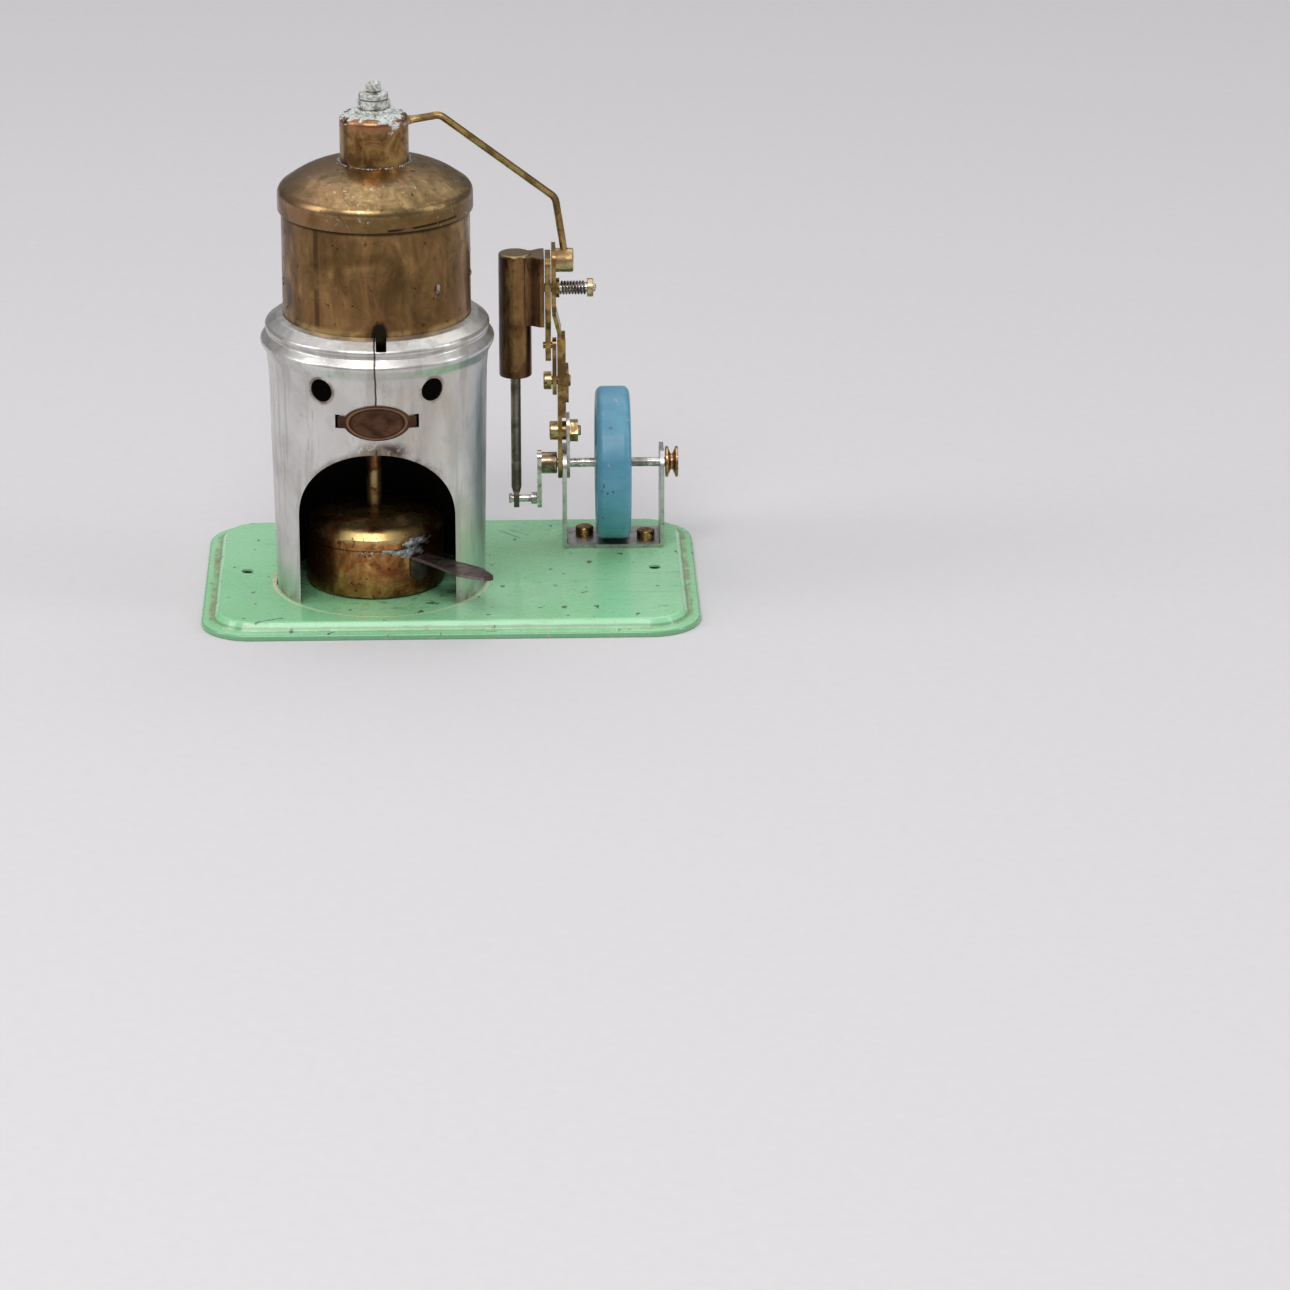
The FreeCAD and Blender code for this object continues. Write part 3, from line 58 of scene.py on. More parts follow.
BOILER = centre("boiler_drum")
BURNER = centre("burner_tank")
DRUM_RADIUS = half_width("boiler_drum")
LID_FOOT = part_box("boiler_lid")[0].z
LID_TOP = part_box("boiler_lid")[1].z
DOME_LOW, DOME_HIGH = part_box("steam_dome")
DOME_RADIUS = half_width("steam_dome")
SHELL_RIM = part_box("firebox")[1].z
PLATE_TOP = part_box("base_plate")[1].z
TANK_RADIUS = half_width("burner_tank")
TANK_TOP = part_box("burner_tank")[1].z

# Sizes of features that no node's box gives, the same as in the part's source.
ARCH_RADIUS = 20.5 * MM
ARCH_SPRING = 28.6 * MM
ARCH_TOP = 49.4 * MM
ARCH_MIDDLE = BOILER.x - 0.55 * MM
VENTS = 6
VENT_Z = 66.6 * MM
VENT_RADIUS = 3.2 * MM
SHELL_FOOT_RADIUS = 28.4 * MM
SHELL_TOP_RADIUS = 29.4 * MM
SHELL_TOP_Z = 64.0 * MM
SHELL_FLARE = (SHELL_TOP_RADIUS - SHELL_FOOT_RADIUS) / (SHELL_TOP_Z - PLATE_TOP)
DOME_ROUND = 1.7 * MM
NAMEPLATE_OVAL = 0.42  # half the oval's width, as a share of the width with its tabs


# ---- Material building ----

class Paint:
    """A material's node tree, with one short method for each kind of node it needs.

    Positions are object coordinates in metres, so every scale is in turns per metre.
    """

    def __init__(self, name):
        self.material = bpy.data.materials.new(name)
        self.material.use_nodes = True
        self.tree = self.material.node_tree
        self.shader = next(node for node in self.tree.nodes if node.type == "BSDF_PRINCIPLED")
        self.place = self.node("ShaderNodeTexCoord").outputs["Object"]

    def node(self, kind, **settings):
        made = self.tree.nodes.new(kind)
        for setting, value in settings.items():
            setattr(made, setting, value)
        return made

    def feed(self, socket, value):
        if isinstance(value, bpy.types.NodeSocket):
            self.tree.links.new(value, socket)
        elif value is not None:
            socket.default_value = value

    def fill(self, node, **inputs):
        """Feed a node's inputs by name, with _ in place of a space."""
        for name, value in inputs.items():
            self.feed(node.inputs[name.replace("_", " ")], value)

    def math(self, operation, first, second=None, clamp=False):
        made = self.node("ShaderNodeMath", operation=operation, use_clamp=clamp)
        for socket, value in zip(made.inputs, (first, second)):
            self.feed(socket, value)
        return made.outputs[0]

    def times(self, first, second):
        return self.math("MULTIPLY", first, second)

    def over(self, first, second):
        return self.math("DIVIDE", first, second)

    def plus(self, first, second, clamp=False):
        return self.math("ADD", first, second, clamp=clamp)

    def minus(self, first, second):
        return self.math("SUBTRACT", first, second)

    def larger(self, first, second):
        return self.math("MAXIMUM", first, second)

    def smaller(self, first, second):
        return self.math("MINIMUM", first, second)

    def absolute(self, value):
        return self.math("ABSOLUTE", value)

    def gap(self, value, middle):
        """How far a value is from a middle one, to either side."""
        return self.absolute(self.minus(value, middle))

    def vector(self, operation, first, second=None):
        made = self.node("ShaderNodeVectorMath", operation=operation)
        for socket, value in zip(made.inputs, (first, second)):
            self.feed(socket, value)
        return made.outputs["Value" if operation in ("LENGTH", "DISTANCE", "DOT_PRODUCT") else "Vector"]

    def stretched(self, scale):
        """The position, stretched by a different amount along each axis."""
        return self.vector("MULTIPLY", self.place, scale)

    def parts(self, vector=None):
        made = self.node("ShaderNodeSeparateXYZ")
        self.feed(made.inputs[0], vector or self.place)
        return made.outputs

    def joined(self, x, y, z):
        made = self.node("ShaderNodeCombineXYZ")
        for socket, value in zip(made.inputs, (x, y, z)):
            self.feed(socket, value)
        return made.outputs[0]

    def length(self, across, along):
        return self.vector("LENGTH", self.joined(across, along, 0.0))

    def noise(self, scale, detail=4.0, roughness=0.55, distortion=0.0, at=None):
        made = self.node("ShaderNodeTexNoise")
        self.fill(made, Vector=at or self.place, Scale=scale, Detail=detail, Roughness=roughness,
                  Distortion=distortion)
        return made.outputs["Fac"]

    def cells(self, scale, at=None):
        made = self.node("ShaderNodeTexVoronoi")
        self.fill(made, Vector=at or self.place, Scale=scale)
        return made.outputs["Distance"]

    def step(self, value, low, high, to_low=0.0, to_high=1.0):
        """A smooth step from to_low to to_high as value goes from low to high."""
        made = self.node("ShaderNodeMapRange", interpolation_type="SMOOTHSTEP")
        self.fill(made, Value=value, From_Min=low, From_Max=high, To_Min=to_low, To_Max=to_high)
        return made.outputs["Result"]

    def patchy(self, pattern, low, high, most=1.0):
        """From 0 to most where the noise of a pattern (the arguments of noise) rises from low to high."""
        return self.step(self.noise(*pattern), low, high, 0.0, most)

    def wander(self, reach, *pattern):
        """A noise that strays by half of reach to either side of 0."""
        return self.times(self.minus(self.noise(*pattern), 0.5), reach)

    def ramp(self, value, stops):
        made = self.node("ShaderNodeValToRGB")
        self.feed(made.inputs["Fac"], value)
        elements = made.color_ramp.elements
        while len(elements) < len(stops):
            elements.new(0.5)
        for element, (position, colour) in zip(elements, stops):
            element.position = position
            element.color = (*colour, 1.0)
        return made.outputs["Color"]

    def blend(self, amount, first, second):
        """The first colour, with an amount of the second over it."""
        made = self.node("ShaderNodeMix", data_type="RGBA")
        self.feed(made.inputs[0], amount)
        for socket, colour in ((made.inputs[6], first), (made.inputs[7], second)):
            self.feed(socket, (*colour, 1.0) if isinstance(colour, tuple) else colour)
        return made.outputs[2]

    def ridge(self, height, depth, strength=1.0, normal=None):
        """A bump whose full height is depth, in metres."""
        made = self.node("ShaderNodeBump")
        self.fill(made, Strength=strength, Distance=depth, Height=height, Normal=normal)
        return made.outputs["Normal"]

    def round_boiler(self):
        """Radius from the boiler's axis, and the angle round it in turns, 0 at the front."""
        x, y, _ = self.parts(self.vector("SUBTRACT", self.place, (BOILER.x, BOILER.y, 0.0)))
        radius = self.math("SQRT", self.plus(self.times(x, x), self.times(y, y)))
        turn = self.over(self.math("ARCTAN2", x, self.times(y, -1.0)), 2 * math.pi)
        return radius, turn

    def stroke(self, start, end, width):
        """1 along a straight scratch between two points of the level plane, 0 beyond its width."""
        start, end = Vector((*start, 0.0)), Vector((*end, 0.0))
        run = end - start
        x, y, _ = self.parts()
        offset = self.vector("SUBTRACT", self.joined(x, y, 0.0), tuple(start))
        along = self.vector("DOT_PRODUCT", offset, tuple(run))
        along = self.math("DIVIDE", along, run.length_squared, clamp=True)
        nearest = self.node("ShaderNodeVectorMath", operation="SCALE")
        nearest.inputs[0].default_value = run
        self.feed(nearest.inputs["Scale"], along)
        gap = self.vector("DISTANCE", offset, nearest.outputs[0])
        ragged = self.plus(gap, self.wander(width * 1.4, 900, 2.0, 0.5))
        return self.step(ragged, width * 0.45, width * 0.85, 1.0, 0.0)

    def finish(self, colour, metallic, rough, normal=None, **others):
        self.fill(self.shader, Base_Color=colour, Metallic=metallic, Roughness=rough, Normal=normal, **others)
        return self.material


def aged_metal(name, bright, worn, dark, rough=(0.25, 0.5), grain=(1, 1, 6), patch=90, spots=0.5,
               contrast=(0.38, 0.62)):
    """Metal with patches of tarnish, fine scratches along one direction, and small dark spots."""
    paint = Paint(name)
    patches = paint.noise(patch, 6.0, 0.62, 0.6)
    tone = paint.step(patches, contrast[0], contrast[1])
    fine = paint.noise(900, 3.0, 0.6, at=paint.stretched(grain))
    colour = paint.ramp(tone, ((0.0, dark), (0.45, worn), (1.0, bright)))
    colour = paint.blend(paint.step(fine, 0.3, 0.7, 0.0, 0.35), colour, worn)
    freckles = paint.patchy((700, 2.0, 0.5), 0.66, 0.74, spots)
    colour = paint.blend(freckles, colour, tuple(part * 0.35 for part in dark))
    roughness = paint.plus(paint.step(tone, 0.0, 1.0, rough[1], rough[0]),
                           paint.step(fine, 0.3, 0.8, -0.04, 0.08))
    roughness = paint.plus(roughness, paint.times(freckles, 0.25))
    normal = paint.ridge(fine, 0.02 * MM, 0.6)
    normal = paint.ridge(patches, 0.06 * MM, 0.5, normal)
    return paint.finish(colour, 1.0, roughness, normal)


# ---- The base plate's enamel ----

def on_base(x, y):
    """A point of the base plate, in millimetres from its middle."""
    middle = centre("base_plate")
    return middle.x + x * MM, middle.y + y * MM


# The longest marks in the enamel: two ends and a width.
ENAMEL_SCRATCHES = (
    (on_base(-52.5, -41.0), on_base(-45.5, -37.8), 0.45 * MM),
    (on_base(35.6, -20.2), on_base(36.8, -19.4), 0.55 * MM),
    (on_base(9.5, -44.3), on_base(11.9, -44.2), 0.35 * MM),
    (on_base(13.6, 31.5), on_base(19.2, 25.0), 0.35 * MM),
    (on_base(16.5, 32.0), on_base(21.5, 27.5), 0.25 * MM),
    (on_base(-63.6, -22.5), on_base(-63.4, -22.0), 0.55 * MM),
)
PLATE_CORNER = 14.0 * MM


def inset_from_edge(paint):
    """How far a point of the base plate lies within its outline, which has round corners."""
    low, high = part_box("base_plate")
    x, y, _ = paint.parts()
    beyond_x = paint.minus(paint.absolute(x), (high.x - low.x) / 2 - PLATE_CORNER)
    beyond_y = paint.minus(paint.absolute(y), (high.y - low.y) / 2 - PLATE_CORNER)
    reach = paint.length(paint.larger(beyond_x, 0.0), paint.larger(beyond_y, 0.0))
    inner = paint.smaller(paint.larger(beyond_x, beyond_y), 0.0)
    return paint.minus(PLATE_CORNER, paint.plus(reach, inner))


def rim_grime(paint, colour, inset):
    """Dirt and rust in the pressed valley behind the plate's rim, painted shade in the valley's fold and on
    the turned-down outer edge; the colour and where the dirt is.
    """
    _, y, _ = paint.parts()
    wobble = paint.wander(1.6 * MM, 190, 4.0, 0.6)
    in_valley = paint.gap(paint.plus(inset, wobble), 2.7 * MM)
    valley = paint.step(in_valley, 0.2 * MM, 1.3 * MM, 1.0, 0.0)
    grimy = paint.times(valley, paint.step(y, -36 * MM, -30 * MM, 0.35, 1.0))
    dirt = paint.times(grimy, paint.patchy((75, 5.0, 0.7, 1.2), 0.36, 0.58))
    colour = paint.blend(paint.times(dirt, 0.75), colour, (0.200, 0.205, 0.090))
    tan = paint.times(grimy, paint.patchy((260, 5.0, 0.7, 1.5), 0.49, 0.60, 0.9))
    colour = paint.blend(tan, colour, (0.290, 0.215, 0.115))
    # Painted shade: a thin darker green line along the fold of the valley.
    crease_shade = paint.gap(paint.plus(inset, paint.times(wobble, 0.15)), 3.5 * MM)
    colour = paint.blend(paint.step(crease_shade, 0.05 * MM, 0.45 * MM, 0.65, 0.0), colour, (0.085, 0.210, 0.085))
    # Painted shade: darker green on the plate's turned-down outer edge.
    outer_edge_shade = paint.step(inset, 0.75 * MM, 0.25 * MM, 0.0, 0.55)
    return paint.blend(outer_edge_shade, colour, (0.060, 0.250, 0.095)), dirt


def firebox_ring(paint, colour):
    """The pale line of old polish round the firebox's foot, with soot inside it and rust beside it."""
    radius, _ = paint.round_boiler()
    off_ring = paint.gap(paint.plus(radius, paint.wander(0.5 * MM, 120, 3.0, 0.6)), 29.3 * MM)
    ring = paint.step(off_ring, 0.26 * MM, 0.62 * MM, 0.95, 0.0)
    colour = paint.blend(ring, colour, (0.66, 0.60, 0.44))
    soot = paint.times(paint.step(radius, 29.0 * MM, 24.0 * MM),
                       paint.patchy((200, 5.0, 0.65, 0.8), 0.5, 0.68, 0.6))
    colour = paint.blend(soot, colour, (0.06, 0.07, 0.03))
    rust = paint.times(paint.step(off_ring, 4.0 * MM, 0.5 * MM),
                       paint.patchy((240, 5.0, 0.7, 1.0), 0.56, 0.68, 0.55))
    return paint.blend(rust, colour, (0.34, 0.27, 0.13))


def enamel(name):
    """Mint green stoved enamel: dirt and painted shade in the valley of the rim, chips along it, scratches
    and smudges, and painted shade along the plate's outer and bottom edges.
    """
    paint = Paint(name)
    _, _, z = paint.parts()
    inset = inset_from_edge(paint)
    broad = paint.noise(28, 5.0, 0.55, 0.4)
    fine = paint.noise(420, 4.0, 0.6)
    colour = paint.ramp(broad, ((0.3, (0.225, 0.550, 0.275)), (0.5, (0.268, 0.610, 0.328)),
                                (0.7, (0.325, 0.650, 0.388))))
    colour = paint.blend(paint.step(fine, 0.45, 0.75, 0.0, 0.08), colour, (0.17, 0.42, 0.20))

    colour, dirt = rim_grime(paint, colour, inset)
    flecks = paint.patchy((520, 3.0, 0.6, 0.5), 0.63, 0.68)
    border = paint.step(inset, 5.6 * MM, 3.2 * MM)
    chips = paint.times(flecks, paint.times(border, 0.85))
    colour = paint.blend(chips, colour, (0.42, 0.38, 0.30))

    smudge = paint.patchy((62, 6.0, 0.7, 2.0), 0.60, 0.76, 0.4)
    colour = paint.blend(smudge, colour, (0.14, 0.26, 0.12))
    pits = paint.patchy((310, 2.0, 0.4, 0.3), 0.70, 0.73, 0.85)
    colour = paint.blend(pits, colour, (0.045, 0.05, 0.03))
    strokes = paint.noise(90, 2.0, 0.5, 1.5, at=paint.stretched((0.25, 3.2, 1.0)))
    scratches = paint.step(paint.gap(strokes, 0.70), 0.004, 0.012, 0.6, 0.0)
    colour = paint.blend(scratches, colour, (0.10, 0.16, 0.08))

    colour = firebox_ring(paint, colour)
    for start, end, width in ENAMEL_SCRATCHES:
        scratch = paint.times(paint.stroke(start, end, width), 0.85)
        colour = paint.blend(scratch, colour, (0.05, 0.08, 0.04))
    # Painted shade: darker green along the bottom edge, where the plate meets the floor.
    bottom_edge_shade = paint.step(z, 0.35 * MM, 0.1 * MM, 0.0, 0.7)
    colour = paint.blend(bottom_edge_shade, colour, (0.12, 0.20, 0.12))
    roughness = paint.plus(paint.step(fine, 0.3, 0.8, 0.24, 0.34),
                           paint.times(paint.plus(dirt, chips), 0.35))
    normal = paint.ridge(paint.noise(120, 3.0, 0.5), 0.05 * MM, 0.3)
    normal = paint.ridge(paint.plus(chips, pits), -0.08 * MM, 0.8, normal)
    return paint.finish(colour, 0.0, roughness, normal, Coat_Weight=0.6, Coat_Roughness=0.10)


# ---- Firebox ----

def arch_soot(paint, colour, x, z, front):
    """Brown soot round the arch and a smear of it over the crown; the colour, the soot and the smear."""
    above_spring = paint.larger(paint.minus(z, ARCH_SPRING), 0.0)
    ragged = paint.wander(5.0 * MM, 230, 5.0, 0.65, 0.7)
    off_edge = paint.minus(paint.plus(paint.length(x, above_spring), ragged), ARCH_RADIUS)
    stain = paint.times(paint.step(off_edge, 2.6 * MM, -0.3 * MM, 0.0, 0.85), front)
    upper = paint.larger(paint.step(z, 36 * MM, 44 * MM), 0.25)
    colour = paint.blend(paint.times(stain, upper), colour, (0.13, 0.075, 0.04))

    off_x = paint.over(paint.minus(x, 2.0 * MM), 8.5 * MM)
    off_z = paint.over(paint.minus(z, ARCH_TOP + 1.0 * MM), 3.0 * MM)
    smear = paint.times(paint.step(paint.length(off_x, off_z), 1.15, 0.35), front)
    smear = paint.times(smear, paint.patchy((300, 5.0, 0.7, 1.0), 0.34, 0.48))
    colour = paint.blend(smear, colour, (0.060, 0.032, 0.020))
    return colour, stain, smear


def vent_halos(paint, colour, turn, z, mottle):
    """A thin scorched ring round each vent."""
    sector = paint.minus(paint.math("FRACT", paint.times(turn, VENTS)), 0.5)
    along = paint.times(sector, 2 * math.pi * SHELL_TOP_RADIUS / VENTS)
    off_vent = paint.length(along, paint.minus(z, VENT_Z))
    halo = paint.step(off_vent, VENT_RADIUS + 0.35 * MM, VENT_RADIUS + 1.1 * MM, 0.75, 0.0)
    return paint.blend(paint.times(halo, paint.step(mottle, 0.35, 0.6)), colour, (0.16, 0.085, 0.045))


def front_seam(paint, x, z, front):
    """The dark, slightly crooked line where the sheet's edges meet, left out behind the nameplate."""
    off_seam = paint.gap(paint.plus(x, paint.wander(0.9 * MM, 150, 2.0, 0.5)), 0.25 * MM)
    seam = paint.times(paint.step(off_seam, 0.12 * MM, 0.32 * MM, 0.9, 0.0), front)
    above = paint.step(z, 62.5 * MM, 63.5 * MM)
    below = paint.step(z, 51.5 * MM, 50.5 * MM)
    return paint.times(seam, paint.plus(above, below, clamp=True))


def firebox_sheet(name):
    """Dull rolled aluminium: upright brushing, scratches, soot round the arch and soot-black inside."""
    paint = Paint(name)
    radius, turn = paint.round_boiler()
    x, y, z = paint.parts()
    off_middle = paint.minus(x, ARCH_MIDDLE)
    front = paint.step(paint.minus(y, BOILER.y), -10 * MM, -18 * MM)
    round_shell = paint.joined(paint.times(turn, 0.18), radius, paint.times(z, 0.12))
    brushing = paint.noise(2600, 3.0, 0.6, at=round_shell)
    streaks = paint.noise(240, 3.0, 0.55, 0.3, at=round_shell)
    cloud = paint.noise(45, 5.0, 0.6, 0.8)
    mottle = paint.noise(210, 5.0, 0.65, 0.5)
    colour = paint.ramp(cloud, (
        (0.3, (0.50, 0.49, 0.47)), (0.55, (0.66, 0.65, 0.63)), (0.8, (0.76, 0.755, 0.74))))
    colour = paint.blend(paint.step(mottle, 0.5, 0.75, 0.0, 0.3), colour, (0.45, 0.43, 0.40))
    colour = paint.blend(paint.step(streaks, 0.50, 0.62, 0.0, 0.45), colour, (0.40, 0.385, 0.365))
    scratches = paint.noise(380, 2.0, 0.5, 0.9, at=paint.stretched((2.0, 2.0, 0.18)))
    marks = paint.step(paint.gap(scratches, 0.66), 0.003, 0.014, 0.55, 0.0)
    colour = paint.blend(marks, colour, (0.30, 0.30, 0.29))

    colour, stain, smear = arch_soot(paint, colour, off_middle, z, front)
    colour = vent_halos(paint, colour, turn, z, mottle)
    tinge = paint.times(paint.times(front, paint.step(off_middle, -12 * MM, 4 * MM)),
                        paint.patchy((70, 4.0, 0.6, 0.8), 0.40, 0.62, 0.35))
    colour = paint.blend(tinge, colour, (0.64, 0.55, 0.42))
    foot = paint.times(paint.step(z, 8.5 * MM, 3.9 * MM), paint.patchy((330, 4.0, 0.6), 0.42, 0.62, 0.8))
    colour = paint.blend(foot, colour, (0.30, 0.28, 0.22))
    seam = front_seam(paint, off_middle, z, front)
    colour = paint.blend(seam, colour, (0.045, 0.028, 0.018))

    flared = paint.times(paint.minus(z, PLATE_TOP), SHELL_FLARE)
    middle_of_sheet = paint.plus(SHELL_FOOT_RADIUS - 0.25 * MM, flared)
    within = paint.step(paint.minus(middle_of_sheet, radius), 0.0, 0.1 * MM)
    inside = paint.times(within, paint.step(z, 71 * MM, 70 * MM))
    colour = paint.blend(inside, colour, (0.020, 0.016, 0.013))
    roughness = paint.plus(paint.step(cloud, 0.3, 0.75, 0.40, 0.30), paint.step(mottle, 0.4, 0.8, 0.0, 0.12))
    roughness = paint.larger(roughness, paint.larger(paint.times(inside, 0.95), paint.times(smear, 0.8)))
    sooty = paint.larger(smear, paint.times(stain, 0.7))
    metallic = paint.minus(1.0, paint.larger(inside, sooty))
    normal = paint.ridge(brushing, 0.015 * MM, 0.5)
    normal = paint.ridge(cloud, 0.5 * MM, 0.7, normal)
    normal = paint.ridge(streaks, 0.10 * MM, 0.6, normal)
    normal = paint.ridge(mottle, 0.05 * MM, 0.5, normal)
    normal = paint.ridge(seam, -0.25 * MM, 1.0, normal)
    return paint.finish(colour, metallic, roughness, normal)


# ---- Boiler ----

def shades(colour, *stops):
    """Ramp stops of one colour: (position, how much of the colour is left)."""
    return tuple((position, tuple(part * share for part in colour)) for position, share in stops)


def boiler_tarnish(paint, pattern, patches, gold, low, high):
    """Brass browned by heat towards the firebox, with soot specks; its colour, its tone and the specks."""
    _, _, z = paint.parts()
    tone = paint.plus(paint.times(pattern, 0.55), paint.times(patches, 0.45))
    colour = paint.ramp(paint.step(tone, 0.36, 0.64),
                        shades(gold, (0.0, 0.30), (0.4, 0.48), (0.75, 0.68), (1.0, 1.0)))
    heat = paint.times(paint.step(z, low + 0.55 * (high - low), low, 0.0, 0.6),
                       paint.patchy((120, 5.0, 0.6, 1.0), 0.35, 0.6))
    colour = paint.blend(heat, colour, (0.235, 0.115, 0.048))
    specks = paint.patchy((620, 2.0, 0.5, 0.4), 0.66, 0.72, 0.8)
    colour = paint.blend(specks, colour, (0.045, 0.026, 0.014))
    red = paint.patchy((130, 5.0, 0.7, 1.5), 0.52, 0.66, 0.45)
    return paint.blend(red, colour, (0.240, 0.110, 0.055)), tone, specks


def boiler_finish(paint, colour, tone, specks, patches, rough, dents):
    """Roughness from smooth to dull with the tone, and faint upright scratches over shallow dents."""
    roughness = paint.plus(paint.step(tone, 0.36, 0.64, rough[1], rough[0]), paint.times(specks, 0.3))
    fine = paint.noise(1100, 3.0, 0.6, at=paint.stretched((1.0, 1.0, 0.3)))
    normal = paint.ridge(fine, 0.012 * MM, 0.6)
    normal = paint.ridge(patches, dents, 0.5, normal)
    return paint.finish(colour, 1.0, roughness, normal)


def lid_brass(name):
    """The boiler's lid: a browner rim with a black line along it, reddish to the left, and pale dust."""
    paint = Paint(name)
    _, turn = paint.round_boiler()
    _, _, z = paint.parts()
    patches = paint.noise(85, 6.0, 0.65, 0.8)
    clouds = paint.noise(190, 6.0, 0.72, 1.2)
    colour, tone, specks = boiler_tarnish(
        paint, clouds, patches, (0.520, 0.350, 0.160), LID_FOOT - 10 * MM, LID_TOP)
    rim = paint.step(z, LID_FOOT + 4.6 * MM, LID_FOOT + 3.6 * MM, 0.0, 0.85)
    colour = paint.blend(rim, colour, (0.165, 0.095, 0.034))
    climb = paint.times(paint.larger(turn, 0.0), 6.0 * MM)
    off_line = paint.gap(z, paint.plus(LID_FOOT + 0.55 * MM, climb))
    line = paint.times(paint.step(off_line, 0.22 * MM, 0.42 * MM, 1.0, 0.0),
                       paint.step(paint.gap(turn, 32 * DEGREE), 25 * DEGREE, 23 * DEGREE, 0.0, 0.9))
    line = paint.times(line, paint.patchy((110, 2.0, 0.5), 0.40, 0.45))
    colour = paint.blend(line, colour, (0.018, 0.014, 0.012))
    reddish = paint.times(paint.step(turn, 2 * DEGREE, -50 * DEGREE),
                          paint.step(patches, 0.40, 0.58, 0.0, 0.7))
    colour = paint.blend(reddish, colour, (0.300, 0.165, 0.090))
    dust = paint.times(paint.patchy((900, 3.0, 0.6, 0.5), 0.62, 0.69, 0.7),
                       paint.patchy((60, 3.0, 0.6), 0.42, 0.6))
    colour = paint.blend(dust, colour, (0.62, 0.58, 0.50))
    return boiler_finish(paint, colour, tone, specks, patches, (0.25, 0.40), 0.05 * MM)


def drum_brass(name):
    """The boiler's drum: upright bands of tarnish, a lapped seam, a painted reflection along its foot,
    painted shade under the lid, and soot and painted shade behind the slot.
    """
    paint = Paint(name)
    _, turn = paint.round_boiler()
    _, _, z = paint.parts()
    unrolled = paint.joined(paint.times(turn, 0.16), 0.0, paint.times(z, 0.35))
    bands = paint.noise(150, 5.0, 0.6, 0.6, at=unrolled)
    patches = paint.noise(85, 6.0, 0.65, 0.8)
    colour, tone, specks = boiler_tarnish(paint, bands, patches, (0.345, 0.200, 0.078), SHELL_RIM, LID_FOOT)
    seam = paint.times(paint.step(paint.gap(turn, -38 * DEGREE), 1.1 * DEGREE, 2.6 * DEGREE, 0.75, 0.0),
                       paint.patchy((90, 3.0, 0.6), 0.30, 0.5))
    colour = paint.blend(seam, colour, (0.060, 0.034, 0.018))
    above_shell = paint.minus(z, SHELL_RIM)
    # Painted reflection: a pale gold line along the drum's foot, where the collar reflects in the brass.
    collar_reflection = paint.times(paint.step(above_shell, 2.2 * MM, 0.6 * MM, 0.0, 0.7),
                         paint.step(patches, 0.38, 0.55))
    colour = paint.blend(collar_reflection, colour, (0.46, 0.32, 0.13))
    # Painted shade: a dark band on the drum just below the rim of the lid.
    shade_under_lid = paint.step(z, LID_FOOT - 1.3 * MM, LID_FOOT - 0.5 * MM, 0.0, 0.9)
    colour = paint.blend(shade_under_lid, colour, (0.03, 0.018, 0.01))
    # Soot and painted shade: the drum behind the firebox's slot, darkened almost to black.
    beside_slot = paint.times(paint.minus(turn, 2.2 * DEGREE), 2 * math.pi * DRUM_RADIUS)
    off_slot = paint.length(beside_slot, paint.times(paint.larger(above_shell, 0.0), 0.45))
    off_slot = paint.plus(off_slot, paint.times(bands, 1.6 * MM))
    colour = paint.blend(paint.step(off_slot, 2.4 * MM, 3.2 * MM, 0.95, 0.0), colour, (0.014, 0.010, 0.008))
    across = paint.over(paint.plus(turn, 68 * DEGREE), 9 * DEGREE)
    off_scorch = paint.length(across, paint.over(paint.minus(above_shell, 8 * MM), 6 * MM))
    scorch = paint.times(paint.step(off_scorch, 1.1, 0.4), paint.step(bands, 0.46, 0.56, 0.0, 0.85))
    colour = paint.blend(scorch, colour, (0.040, 0.022, 0.014))
    return boiler_finish(paint, colour, tone, specks, patches, (0.26, 0.42), 0.10 * MM)


def dome_brass(name):
    """The steam dome's brass, copper red at its shoulder where solder heat has scorched it, with a painted
    dark reflection in an upright band on its left.
    """
    paint = Paint(name)
    _, turn = paint.round_boiler()
    _, _, z = paint.parts()
    patches = paint.noise(150, 6.0, 0.65, 0.8)
    colour = paint.ramp(paint.step(patches, 0.36, 0.64), (
        (0.0, (0.125, 0.066, 0.024)), (0.5, (0.240, 0.135, 0.048)), (1.0, (0.355, 0.215, 0.080))))
    ragged = paint.wander(3.0 * MM, 260, 4.0, 0.6)
    shoulder = paint.step(paint.plus(z, ragged), DOME_HIGH.z - 4.2 * MM, DOME_HIGH.z - 1.8 * MM, 0.0, 0.65)
    colour = paint.blend(shoulder, colour, (0.37, 0.165, 0.090))
    # Painted reflection: a dark upright band down the dome's left side.
    off_reflected_band = paint.gap(turn, -55 * DEGREE)
    colour = paint.blend(paint.step(off_reflected_band, 3 * DEGREE, 9 * DEGREE, 0.6, 0.0), colour, (0.05, 0.03, 0.015))
    specks = paint.patchy((800, 2.0, 0.5), 0.66, 0.73, 0.7)
    colour = paint.blend(specks, colour, (0.05, 0.03, 0.015))
    roughness = paint.step(patches, 0.35, 0.65, 0.42, 0.27)
    normal = paint.ridge(patches, 0.1 * MM, 0.5)
    return paint.finish(colour, 1.0, roughness, normal)


